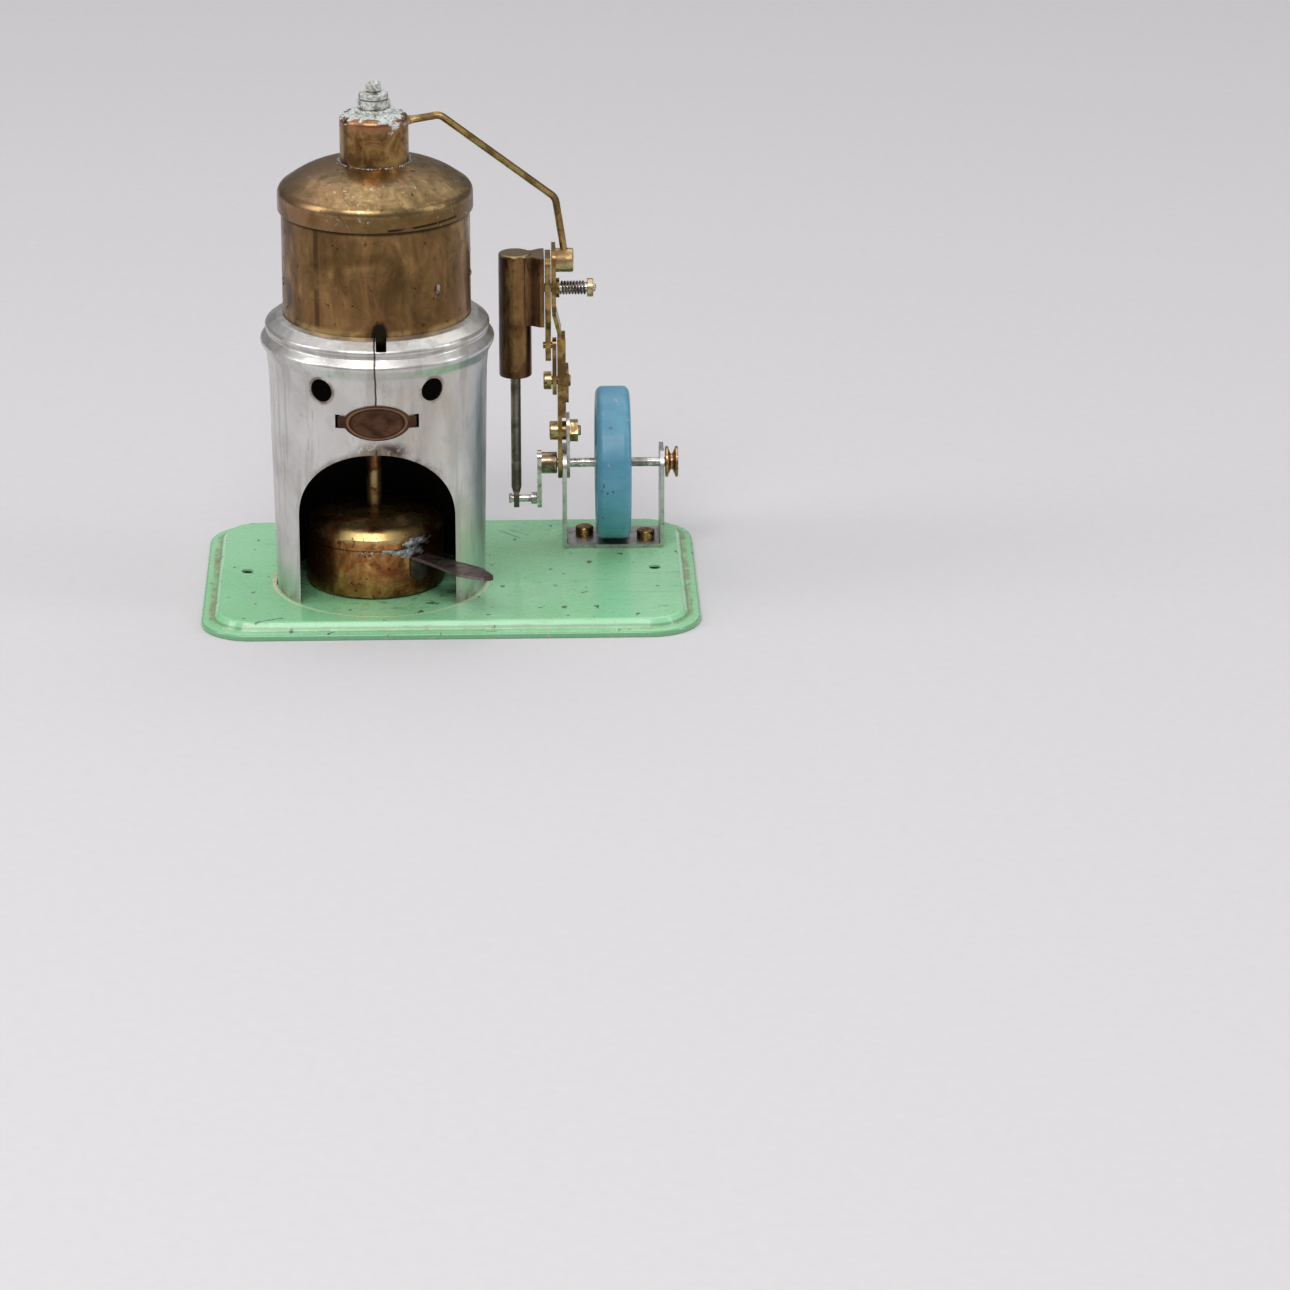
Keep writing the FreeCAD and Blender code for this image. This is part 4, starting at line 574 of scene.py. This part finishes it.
def corroded(name, metal=(0.42, 0.40, 0.33), bloom=(0.66, 0.72, 0.68), cover=0.5, red=0.25):
    """Nickelled brass eaten by white and green corrosion, with copper showing in places."""
    paint = Paint(name)
    crust = paint.noise(420, 6.0, 0.7, 0.8)
    mask = paint.step(crust, 0.62 - 0.3 * cover, 0.72 - 0.3 * cover)
    green = paint.noise(180, 3.0, 0.6, 0.4)
    bloom_colour = paint.ramp(green, ((0.35, bloom), (0.55, (0.56, 0.61, 0.59)), (0.7, (0.78, 0.78, 0.75))))
    copper = paint.patchy((330, 3.0, 0.5, 0.5), 0.55, 0.65, red)
    colour = paint.blend(copper, metal, (0.52, 0.26, 0.15))
    colour = paint.blend(mask, colour, bloom_colour)
    grime = paint.patchy((800, 5.0, 0.7, 0.6), 0.50, 0.62, 0.8)
    colour = paint.blend(grime, colour, (0.13, 0.13, 0.115))
    metallic = paint.step(mask, 0.0, 1.0, 0.9, 0.1)
    roughness = paint.step(mask, 0.0, 1.0, 0.38, 0.85)
    normal = paint.ridge(crust, 0.35 * MM, 0.8)
    return paint.finish(colour, metallic, roughness, normal)


def solder(name, tint=(0.42, 0.45, 0.48)):
    """Lumpy grey solder with a dull skin and a few bright faces."""
    paint = Paint(name)
    lumps = paint.noise(500, 4.0, 0.6, 0.4)
    dark, plain = shades(tint, (0.3, 0.35), (0.5, 1.0))
    colour = paint.ramp(lumps, (dark, plain, (0.75, (0.72, 0.74, 0.76))))
    green = paint.patchy((300, 3.0, 0.5), 0.52, 0.62, 0.4)
    colour = paint.blend(green, colour, (0.42, 0.50, 0.44))
    roughness = paint.step(lumps, 0.3, 0.7, 0.62, 0.34)
    return paint.finish(colour, 0.75, roughness, paint.ridge(lumps, 0.25 * MM, 0.8))


def cylinder_brass(name):
    """The cylinder's bronze-brown brass, with painted shade that darkens it almost to black on the side
    towards the boiler.
    """
    paint = Paint(name)
    axis = centre("cylinder_tube")
    x, _, z = paint.parts()
    patches = paint.noise(130, 6.0, 0.65, 0.8, at=paint.stretched((1.0, 1.0, 0.45)))
    fine = paint.noise(900, 3.0, 0.6, at=paint.stretched((1.0, 1.0, 0.15)))
    colour = paint.ramp(paint.step(patches, 0.36, 0.66), (
        (0.0, (0.070, 0.036, 0.018)), (0.5, (0.138, 0.076, 0.031)), (1.0, (0.245, 0.145, 0.056))))
    red = paint.patchy((170, 4.0, 0.6, 0.8), 0.50, 0.64, 0.5)
    colour = paint.blend(red, colour, (0.200, 0.085, 0.042))
    # Painted shade: the side of the cylinder towards the boiler, darkened almost to black.
    wander = paint.times(paint.minus(patches, 0.5), 7.0 * MM)
    boiler_side_shade = paint.step(paint.plus(x, wander), axis.x - 0.6 * MM, axis.x - 3.0 * MM, 0.0, 0.85)
    colour = paint.blend(boiler_side_shade, colour, (0.026, 0.017, 0.014))
    cap_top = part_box("cylinder_cap")[1].z
    edge = paint.step(z, cap_top - 0.9 * MM, cap_top - 0.3 * MM, 0.0, 0.6)
    colour = paint.blend(edge, colour, (0.42, 0.31, 0.17))
    specks = paint.patchy((650, 2.0, 0.5, 0.4), 0.65, 0.72, 0.7)
    colour = paint.blend(specks, colour, (0.03, 0.02, 0.015))
    roughness = paint.plus(paint.step(patches, 0.36, 0.66, 0.40, 0.24),
                           paint.step(fine, 0.3, 0.8, -0.03, 0.07))
    normal = paint.ridge(fine, 0.02 * MM, 0.6)
    normal = paint.ridge(patches, 0.06 * MM, 0.5, normal)
    return paint.finish(colour, 1.0, roughness, normal)


def plate_brown(name):
    """The nameplate: dark brown brass with a raised border, worn paler, round a blank field."""
    paint = Paint(name)
    low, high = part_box("nameplate")
    x, _, z = paint.parts()
    off_x = paint.over(paint.minus(x, (low.x + high.x) / 2), NAMEPLATE_OVAL * (high.x - low.x))
    off_z = paint.over(paint.minus(z, (low.z + high.z) / 2), 0.5 * (high.z - low.z))
    out = paint.length(off_x, off_z)
    patches = paint.noise(260, 5.0, 0.6, 0.6)
    colour = paint.ramp(patches, (
        (0.32, (0.050, 0.024, 0.015)), (0.52, (0.098, 0.048, 0.030)), (0.72, (0.150, 0.076, 0.045))))
    border = paint.step(paint.gap(out, 0.90), 0.02, 0.05, 1.0, 0.0)
    groove = paint.step(paint.gap(out, 0.81), 0.01, 0.04, 0.7, 0.0)
    colour = paint.blend(groove, colour, (0.025, 0.013, 0.009))
    colour = paint.blend(paint.times(border, 0.75), colour, (0.300, 0.170, 0.100))
    roughness = paint.step(patches, 0.3, 0.7, 0.55, 0.38)
    normal = paint.ridge(border, 0.22 * MM, 0.9)
    normal = paint.ridge(patches, 0.05 * MM, 0.5, normal)
    return paint.finish(colour, 1.0, roughness, normal)


# ---- Burner ----

def burner_brass(name, metallic=1.0):
    """Burner brass, reddened by flame, with a painted highlight in pale gold on its shoulder and soot towards
    the back.
    """
    paint = Paint(name)
    _, y, z = paint.parts()
    patches = paint.noise(120, 6.0, 0.68, 1.0)
    streaks = paint.noise(160, 4.0, 0.6, 0.4, at=paint.stretched((1.0, 1.0, 0.3)))
    tone = paint.plus(paint.times(patches, 0.6), paint.times(streaks, 0.4))
    colour = paint.ramp(paint.step(tone, 0.38, 0.64), (
        (0.0, (0.150, 0.050, 0.020)), (0.35, (0.330, 0.130, 0.046)), (0.7, (0.450, 0.215, 0.075)),
        (1.0, (0.590, 0.350, 0.135))))
    # Painted highlight: pale gold over the lid's shoulder, above the tank's seam.
    gold = paint.times(paint.step(z, TANK_TOP + 1.5 * MM, TANK_TOP + 3.2 * MM),
                       paint.patchy((150, 4.0, 0.6), 0.36, 0.56, 0.85))
    colour = paint.blend(gold, colour, (0.640, 0.470, 0.200))
    red = paint.patchy((210, 4.0, 0.6, 0.6), 0.56, 0.68, 0.7)
    colour = paint.blend(red, colour, (0.330, 0.080, 0.035))
    soot = paint.times(paint.step(y, -14 * MM, 2 * MM, 0.0, 0.85), paint.patchy((140, 4.0, 0.6), 0.25, 0.55))
    colour = paint.blend(soot, colour, (0.03, 0.018, 0.012))
    specks = paint.patchy((640, 3.0, 0.5, 0.4), 0.60, 0.68, 0.75)
    colour = paint.blend(specks, colour, (0.05, 0.02, 0.012))
    seam = paint.step(paint.gap(z, TANK_TOP - 0.1 * MM), 0.1 * MM, 0.35 * MM, 0.85, 0.0)
    colour = paint.blend(seam, colour, (0.03, 0.014, 0.009))
    roughness = paint.plus(paint.step(tone, 0.38, 0.64, 0.44, 0.26), paint.times(specks, 0.3))
    normal = paint.ridge(patches, 0.14 * MM, 0.5)
    return paint.finish(colour, metallic, roughness, normal)


# ---- Flywheel and wick ----

def blue_enamel(name):
    """Blue enamel, brushed on and worn thin, with small chips to a pale undercoat."""
    paint = Paint(name)
    broad = paint.noise(70, 4.0, 0.6, 0.5)
    strokes = paint.noise(500, 3.0, 0.6, at=paint.stretched((0.3, 1.0, 1.0)))
    colour = paint.ramp(broad, (
        (0.3, (0.058, 0.215, 0.335)), (0.55, (0.086, 0.280, 0.405)), (0.8, (0.122, 0.345, 0.470))))
    colour = paint.blend(paint.step(strokes, 0.45, 0.7, 0.0, 0.3), colour, (0.055, 0.205, 0.310))
    chips = paint.patchy((420, 3.0, 0.5, 0.4), 0.67, 0.70, 0.8)
    colour = paint.blend(chips, colour, (0.24, 0.34, 0.36))
    dark = paint.patchy((300, 3.0, 0.5, 0.2), 0.70, 0.73, 0.8)
    colour = paint.blend(dark, colour, (0.02, 0.03, 0.04))
    roughness = paint.step(strokes, 0.3, 0.8, 0.34, 0.5)
    normal = paint.ridge(strokes, 0.03 * MM, 0.5)
    normal = paint.ridge(chips, -0.06 * MM, 0.8, normal)
    return paint.finish(colour, 0.0, roughness, normal, Coat_Weight=0.2, Coat_Roughness=0.25)


def wick_cotton(name):
    """Plaited cotton, cream below and charred at the tip."""
    paint = Paint(name)
    _, _, z = paint.parts()
    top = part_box("wick")[1].z
    weave = paint.cells(2200, at=paint.stretched((1.0, 1.0, 0.6)))
    colour = paint.ramp(weave, ((0.1, (0.62, 0.56, 0.44)), (0.6, (0.36, 0.31, 0.22))))
    colour = paint.blend(paint.step(z, top - 3.0 * MM, top - 1.0 * MM), colour, (0.02, 0.017, 0.015))
    return paint.finish(colour, 0.0, 0.95, paint.ridge(weave, 0.15 * MM, 1.0), Sheen_Weight=0.3)


# ---- Materials of the CAD nodes ----

def dress(material, *nodes):
    """Give the CAD nodes one material."""
    for node in nodes:
        mesh = NODES[node].data
        mesh.materials.clear()
        mesh.materials.append(material)


dress(enamel("mint_enamel"), "base_plate")
dress(firebox_sheet("firebox_sheet"), "firebox")
dress(drum_brass("drum_brass"), "boiler_drum")
dress(lid_brass("lid_brass"), "boiler_lid")
dress(dome_brass("dome_brass"), "steam_dome")
dress(corroded("valve_corroded", (0.40, 0.37, 0.31), (0.70, 0.73, 0.70), 0.75, 0.35),
      "filler_bush", "safety_valve_body", "valve_stem")
dress(corroded("washer_fibre", (0.30, 0.27, 0.22), cover=0.3), "valve_washer")
dress(plate_brown("nameplate_brass"), "nameplate")
dress(aged_metal("pipe_brass", (0.420, 0.290, 0.110), (0.270, 0.170, 0.062), (0.130, 0.075, 0.030),
                 (0.24, 0.42), patch=160, spots=0.3), "steam_pipe")
dress(aged_metal("standard_brass", (0.430, 0.290, 0.110), (0.270, 0.170, 0.062), (0.130, 0.075, 0.030),
                 (0.25, 0.45), patch=170), "engine_standard", "reversing_valve_plate", "regulator_lever",
      "clamp_spacer", "lever_backing_plate")
dress(cylinder_brass("cylinder_brass"), "cylinder_tube", "cylinder_cap", "port_block")
dress(aged_metal("fitting_brass", (0.640, 0.490, 0.270), (0.460, 0.330, 0.165), (0.220, 0.135, 0.065),
                 (0.28, 0.46), patch=260, spots=0.4), "steam_inlet_boss", "clamp_nut", "clamp_screw",
      "lever_screw", "pivot_nut")
dress(aged_metal("screw_brass", (0.520, 0.340, 0.130), (0.300, 0.170, 0.060), (0.110, 0.055, 0.025),
                 (0.2, 0.4), patch=380), "bracket_screws", "bracket_nuts")
dress(aged_metal("tinned_steel", (0.640, 0.625, 0.600), (0.500, 0.485, 0.460), (0.260, 0.225, 0.185),
                 (0.32, 0.5), patch=210, spots=0.7, grain=(0.3, 1, 1), contrast=(0.30, 0.60)),
      "flywheel_bracket", "clamp_plate")
dress(aged_metal("bright_steel", (0.640, 0.630, 0.600), (0.460, 0.445, 0.415), (0.210, 0.190, 0.160),
                 (0.22, 0.42), patch=300, spots=0.6), "crankshaft", "crank_arm", "crank_pin", "pivot_pin")
dress(aged_metal("hub_steel", (0.380, 0.290, 0.200), (0.240, 0.175, 0.115), (0.100, 0.068, 0.044),
                 (0.25, 0.42), patch=300), "crank_hub")
dress(aged_metal("dark_steel", (0.300, 0.265, 0.225), (0.215, 0.185, 0.152), (0.130, 0.108, 0.085),
                 (0.42, 0.55), grain=(1, 1, 4), patch=140, spots=0.5), "piston_rod", "piston")
dress(aged_metal("spring_steel", (0.200, 0.185, 0.165), (0.110, 0.100, 0.090), (0.045, 0.040, 0.036),
                 (0.3, 0.5), patch=400), "pivot_spring", "valve_spring")
dress(aged_metal("handle_steel", (0.330, 0.270, 0.250), (0.200, 0.160, 0.150), (0.085, 0.060, 0.055),
                 (0.34, 0.56), patch=170, spots=0.6), "burner_handle")
dress(burner_brass("burner_brass"), "burner_tank", "burner_lid")
dress(burner_brass("wick_tube_brass", 0.8), "wick_tube")
dress(blue_enamel("blue_enamel"), "flywheel")
dress(aged_metal("pulley_brass", (0.560, 0.370, 0.200), (0.350, 0.215, 0.110), (0.150, 0.085, 0.048),
                 (0.25, 0.45), patch=350), "pulley")
dress(wick_cotton("wick_cotton"), "wick")

for node in NODES.values():
    for polygon in node.data.polygons:
        polygon.use_smooth = True
    node.data.update()


# ---- Extra pieces: corrosion, solder and marks ----

def add_piece(name, shape, body, material):
    """Make a bmesh into a smooth-shaded piece of the visual model that rides on one body."""
    mesh = bpy.data.meshes.new(name)
    shape.to_mesh(mesh)
    shape.free()
    for polygon in mesh.polygons:
        polygon.use_smooth = True
    mesh.materials.append(material)
    piece = bpy.data.objects.new(name, mesh)
    bpy.context.scene.collection.objects.link(piece)
    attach(piece, body)


def round_axis(axis, radius, angle, z):
    """A point round an upright axis; angle is in degrees from the front, positive to the right."""
    turn = math.radians(angle)
    return Vector((axis.x + radius * math.sin(turn), axis.y - radius * math.cos(turn), z))


def along_profile(profile, share):
    """The point (radius, z) and the outward normal at a share of the profile's length."""
    runs = [(Vector(end) - Vector(start)) for start, end in zip(profile, profile[1:])]
    left = share * sum(run.length for run in runs)
    for start, run in zip(profile, runs):
        if left <= run.length or run is runs[-1]:
            way = run.normalized()
            return Vector(start) + way * left, Vector((-way.y, way.x))
        left -= run.length


def crust(name, body, axis, profile, angles, steps, thickness, material):
    """A skin over a turned surface, as thick as thickness(angle, share), and left out where that is 0.

    The profile is a list of (radius, z) that runs outwards where it is level and down elsewhere.
    """
    mesh = bmesh.new()
    rows = []
    for row in range(steps[1] + 1):
        share = row / steps[1]
        point, normal = along_profile(profile, share)
        line = []
        for column in range(steps[0] + 1):
            angle = angles[0] + (angles[1] - angles[0]) * column / steps[0]
            thick = thickness(angle, share)
            lift = thick if thick > 0 else -0.06 * MM
            place = round_axis(axis, point.x + normal.x * lift, angle, point.y + normal.y * lift)
            line.append((mesh.verts.new(place), thick > 0))
        rows.append(line)
    for upper, lower in zip(rows, rows[1:]):
        for column in range(steps[0]):
            corners = (upper[column], upper[column + 1], lower[column + 1], lower[column])
            if any(shown for _, shown in corners):
                mesh.faces.new([vertex for vertex, _ in corners])
    loose = [vertex for vertex in mesh.verts if not vertex.link_faces]
    bmesh.ops.delete(mesh, geom=loose, context="VERTS")
    bmesh.ops.recalc_face_normals(mesh, faces=mesh.faces)
    add_piece(name, mesh, body, material)


def grains(name, body, places, material):
    """Small rough lumps: (middle, direction outwards, width, height, thickness) of each."""
    mesh = bmesh.new()
    for middle, outwards, width, height, thickness in places:
        lump = bmesh.ops.create_icosphere(mesh, subdivisions=2, radius=1.0)["verts"]
        facing = Vector(outwards).to_track_quat("Z", "Y").to_matrix().to_4x4()
        shape = Matrix.Diagonal((width, height, thickness, 1.0))
        for vertex in lump:
            vertex.co *= 1 + 0.25 * noise.noise(vertex.co * 1.7 + middle * 4000)
            vertex.co = Matrix.Translation(middle) @ facing @ shape @ vertex.co
    add_piece(name, mesh, body, material)


def lumpiness(place, scale, seed):
    """Smooth noise from 0 to 1 at a place, with detail."""
    return 0.5 + 0.5 * noise.fractal(Vector(place) * scale + Vector((seed, 0, 0)), 0.8, 2.0, 4)


def bump(value, middle, width):
    """1 at the middle, falling to 0 on both sides of it."""
    return math.exp(-((value - middle) / width) ** 2)


def dome_edge(tilt):
    """The point (radius, z) of the dome's rounded top edge whose normal is tilt degrees off upright."""
    turn = math.radians(tilt)
    return (DOME_RADIUS - DOME_ROUND + DOME_ROUND * math.sin(turn),
            DOME_HIGH.z - DOME_ROUND + DOME_ROUND * math.cos(turn))


def dome_crust():
    """White and green corrosion on the steam dome's top, run down its shoulder at the front right."""
    profile = [(half_width("filler_bush") - 0.3 * MM, DOME_HIGH.z)]
    profile += [dome_edge(tilt) for tilt in range(0, 91, 15)]
    profile.append((DOME_RADIUS, DOME_HIGH.z - 7 * MM))

    def thickness(angle, share):
        reach = 0.30 + 0.30 * bump(angle, 42, 24) + 0.12 * bump(angle, -60, 22) + 0.08 * bump(angle, 150, 40)
        at = (math.sin(math.radians(angle)), math.cos(math.radians(angle)), share * 1.5)
        rough = lumpiness(at, 4.5, 3) + 0.25 * lumpiness(at, 19.0, 8)
        return max(0.0, (reach - share) * 1.1 + (rough - 0.655) * 0.75) * 0.85 * MM

    salts = corroded("dome_crust", (0.36, 0.34, 0.28), (0.64, 0.66, 0.655), 1.0, 0.1)
    crust("dome_crust", "frame", BOILER, profile, (-180, 180), (300, 56), thickness, salts)
    chance = random.Random(5)
    places = []
    while len(places) < 260:
        angle, share = chance.uniform(-180, 180), chance.uniform(0, 0.75)
        depth = thickness(angle, share)
        if depth > 0:
            point, normal = along_profile(profile, share)
            size = chance.uniform(0.08, 0.24) * MM
            middle = round_axis(BOILER, point.x + normal.x * depth, angle, point.y + normal.y * depth)
            places.append((middle, (0, 0, 1), size, size * 0.9, size * 0.8))
    grains("dome_crust_grains", "frame", places, salts)


def dome_foot_ring():
    """Pale salts in the corner between the steam dome and the lid."""
    chance = random.Random(7)
    places = []
    foot = centre("steam_dome")
    for _ in range(380):
        angle = chance.uniform(-180, 180)
        radius = DOME_RADIUS + abs(chance.gauss(0, 0.5)) * MM
        size = chance.uniform(0.05, 0.15) * MM
        middle = round_axis(foot, radius, angle, DOME_LOW.z + 0.06 * MM)
        places.append((middle, (0, 0, 1), size, size * chance.uniform(0.7, 1.3), size * 0.7))
    salts = corroded("salts", (0.5, 0.48, 0.42), (0.70, 0.71, 0.66), 0.9, 0.0)
    grains("dome_foot_salts", "frame", places, salts)


def pipe_joint():
    """The solder fillet where the steam pipe enters the dome."""
    pipe_way = centre("steam_inlet_boss") - centre("steam_dome")
    heading = math.degrees(math.atan2(pipe_way.x, -pipe_way.y))
    pipe_z = DOME_HIGH.z - 3.6 * MM
    start = round_axis(centre("steam_dome"), DOME_RADIUS - 0.4 * MM, heading, pipe_z)
    outwards = Vector((pipe_way.x, pipe_way.y, 0)).normalized()
    facing = outwards.to_track_quat("Z", "Y").to_matrix().to_4x4()
    rings = ((0.0, 2.0), (0.5, 1.7), (1.1, 1.42), (1.9, 1.22), (2.9, 1.08), (3.6, 1.0))  # out and radius, mm
    sides = 28
    mesh = bmesh.new()
    loops = []
    for out, radius in rings:
        loop = []
        for side in range(sides):
            turn = 2 * math.pi * side / sides
            bulge = radius * (1 + 0.10 * noise.noise(Vector((math.cos(turn), math.sin(turn), out)) * 1.6))
            spot = Vector((bulge * math.cos(turn), bulge * math.sin(turn), out)) * MM
            loop.append(mesh.verts.new(Matrix.Translation(start) @ facing @ spot))
        loops.append(loop)
    for low, high in zip(loops, loops[1:]):
        for side in range(sides):
            mesh.faces.new((low[side], low[(side + 1) % sides], high[(side + 1) % sides], high[side]))
    bmesh.ops.recalc_face_normals(mesh, faces=mesh.faces)
    brass = aged_metal("fillet_brass", (0.520, 0.360, 0.160), (0.330, 0.215, 0.090), (0.150, 0.095, 0.045),
                       (0.28, 0.45), patch=300)
    add_piece("pipe_fillet", mesh, "frame", brass)


def drum_marks():
    """Old blisters in the drum's brass: a dark ring with a pale heart."""
    spots = ((40.7, 92.4, 1.0, 1.9), (-79.6, 90.9, 0.9, 1.4), (-71.5, 84.9, 0.6, 0.9), (82.0, 99.0, 0.7, 0.8),
             (85.0, 92.0, 0.7, 1.1), (-128.0, 96.0, 0.8, 1.2), (152.0, 88.0, 0.7, 1.0))
    rings, hearts = [], []
    for angle, z, width, height in spots:
        middle = round_axis(BOILER, DRUM_RADIUS, angle, z * MM)
        outwards = round_axis(Vector((0, 0, 0)), 1, angle, 0)
        rings.append((middle, outwards, width * MM, height * MM, 0.22 * MM))
        above = middle + outwards * 0.08 * MM
        hearts.append((above, outwards, width * 0.62 * MM, height * 0.66 * MM, 0.26 * MM))
    grains("drum_blisters", "frame", rings, solder("blister", (0.10, 0.055, 0.04)))
    pale = aged_metal("blister_heart", (0.620, 0.450, 0.380), (0.440, 0.290, 0.235), (0.190, 0.110, 0.090),
                      (0.4, 0.6), patch=500)
    grains("drum_blister_hearts", "frame", hearts, pale)


def burner_solder():
    """Grey solder smeared along the burner's seam beside its handle, and crumbs of it further left."""
    rim = half_width("burner_lid")
    wall = [(rim + 0.02 * MM, TANK_TOP + 3.0 * MM), (rim + 0.02 * MM, TANK_TOP),
            (TANK_RADIUS, TANK_TOP - 0.4 * MM), (TANK_RADIUS, TANK_TOP - 6.0 * MM)]
    smears = ((37, 0.15, 13, 0.12, 1.1), (31, 0.48, 13, 0.14, 1.1), (13, 0.36, 7, 0.05, 0.7))

    def thickness(angle, share):
        depth = 0.0
        for at, down, width, height, weight in smears:
            depth += weight * math.exp(-((angle - at) / width) ** 2 - ((share - down) / height) ** 2)
        return max(0.0, depth + (lumpiness((angle / 9, share * 5, 0), 1.6, 11) - 0.5) * 1.0 - 0.42) * 0.7 * MM

    crust("burner_solder", "burner", BURNER, wall, (2, 66), (110, 44), thickness, solder("burner_solder"))
    chance = random.Random(21)
    crumbs = []
    for _ in range(60):
        angle = chance.gauss(-3, 14)
        size = chance.uniform(0.07, 0.20) * MM
        middle = round_axis(BURNER, TANK_RADIUS, angle, TANK_TOP - abs(chance.gauss(0.5, 0.6)) * MM)
        crumbs.append((middle, round_axis(Vector((0, 0, 0)), 1, angle, 0), size * 1.3, size, size * 0.6))
    grains("burner_crumbs", "burner", crumbs, solder("crumbs", (0.36, 0.19, 0.14)))


dome_crust()
dome_foot_ring()
pipe_joint()
drum_marks()
burner_solder()


# ---- Studio ----

# The camera's fit to the outline of the base plate.
CAMERA_PLACE = (6.35 * MM, -1486.7 * MM, 534.6 * MM)
CAMERA_PITCH = math.radians(20.42)
CAMERA_YAW = math.radians(1.81)
CAMERA_LENS = 159.93


def make_camera():
    """A long lens a metre and a half away, looking down at the engine by about twenty degrees."""
    ahead = Vector((math.sin(CAMERA_YAW), math.cos(CAMERA_YAW), 0.0))
    right = Vector((math.cos(CAMERA_YAW), -math.sin(CAMERA_YAW), 0.0))
    look = ahead * math.cos(CAMERA_PITCH) - Vector((0, 0, 1)) * math.sin(CAMERA_PITCH)
    up = right.cross(look)
    camera = bpy.data.objects.new("camera", bpy.data.cameras.new("camera"))
    bpy.context.scene.collection.objects.link(camera)
    camera.data.sensor_width = 36.0
    camera.data.lens = CAMERA_LENS
    camera.data.clip_start = 0.05
    camera.data.clip_end = 50.0
    facing = Matrix((right, up, -look)).transposed().to_4x4()
    camera.matrix_world = Matrix.Translation(CAMERA_PLACE) @ facing
    bpy.context.scene.camera = camera


def make_light(name, place, towards, width, depth, power, colour=(1.0, 1.0, 1.0)):
    """A rectangular lamp at a place, facing another one."""
    data = bpy.data.lights.new(name, "AREA")
    data.shape = "RECTANGLE"
    data.size = width
    data.size_y = depth
    data.energy = power
    data.color = colour
    light = bpy.data.objects.new(name, data)
    bpy.context.scene.collection.objects.link(light)
    light.location = place
    light.rotation_mode = "QUATERNION"
    light.rotation_quaternion = (Vector(towards) - Vector(place)).to_track_quat("-Z", "Y")


def make_floor():
    """A plain pale floor, wide enough to fill the view."""
    mesh = bpy.data.meshes.new("floor")
    half = 8.0
    corners = [(-half, -half, 0), (half, -half, 0), (half, half, 0), (-half, half, 0)]
    mesh.from_pydata(corners, [], [(0, 1, 2, 3)])
    floor = bpy.data.objects.new("floor", mesh)
    bpy.context.scene.collection.objects.link(floor)
    paint = Paint("floor_paper")
    grain = paint.noise(300, 3.0, 0.5)
    colour = paint.ramp(grain, ((0.3, (0.585, 0.575, 0.590)), (0.7, (0.600, 0.590, 0.605))))
    mesh.materials.append(paint.finish(colour, 0.0, 0.85))


def make_world():
    """A pale room: bright overhead, dimmer towards the floor."""
    world = bpy.data.worlds.new("studio")
    bpy.context.scene.world = world
    world.use_nodes = True
    nodes, links = world.node_tree.nodes, world.node_tree.links
    direction = nodes.new("ShaderNodeTexCoord")
    parts = nodes.new("ShaderNodeSeparateXYZ")
    rise = nodes.new("ShaderNodeMapRange")
    for name, setting in (("From Min", -0.05), ("From Max", 0.9), ("To Min", 0.14), ("To Max", 0.52)):
        rise.inputs[name].default_value = setting
    background = nodes["Background"]
    background.inputs["Color"].default_value = (0.92, 0.905, 0.92, 1.0)
    links.new(direction.outputs["Generated"], parts.inputs[0])
    links.new(parts.outputs["Z"], rise.inputs["Value"])
    links.new(rise.outputs["Result"], background.inputs["Strength"])


make_camera()
make_floor()
make_world()
ENGINE = Vector((0.0, 0.0, 0.06))
make_light("key", (-0.25, -1.00, 1.20), ENGINE, 1.0, 0.6, 11.5, (1.0, 0.985, 0.965))
make_light("left", (-1.3, -0.25, 0.75), ENGINE, 0.5, 1.0, 6.0)
make_light("right", (1.35, -0.35, 0.7), ENGINE, 0.4, 1.0, 4.5, (0.97, 0.985, 1.0))
make_light("top", (0.05, 0.45, 1.45), ENGINE, 2.2, 1.8, 11.0)
bpy.context.scene.view_settings.view_transform = "Standard"
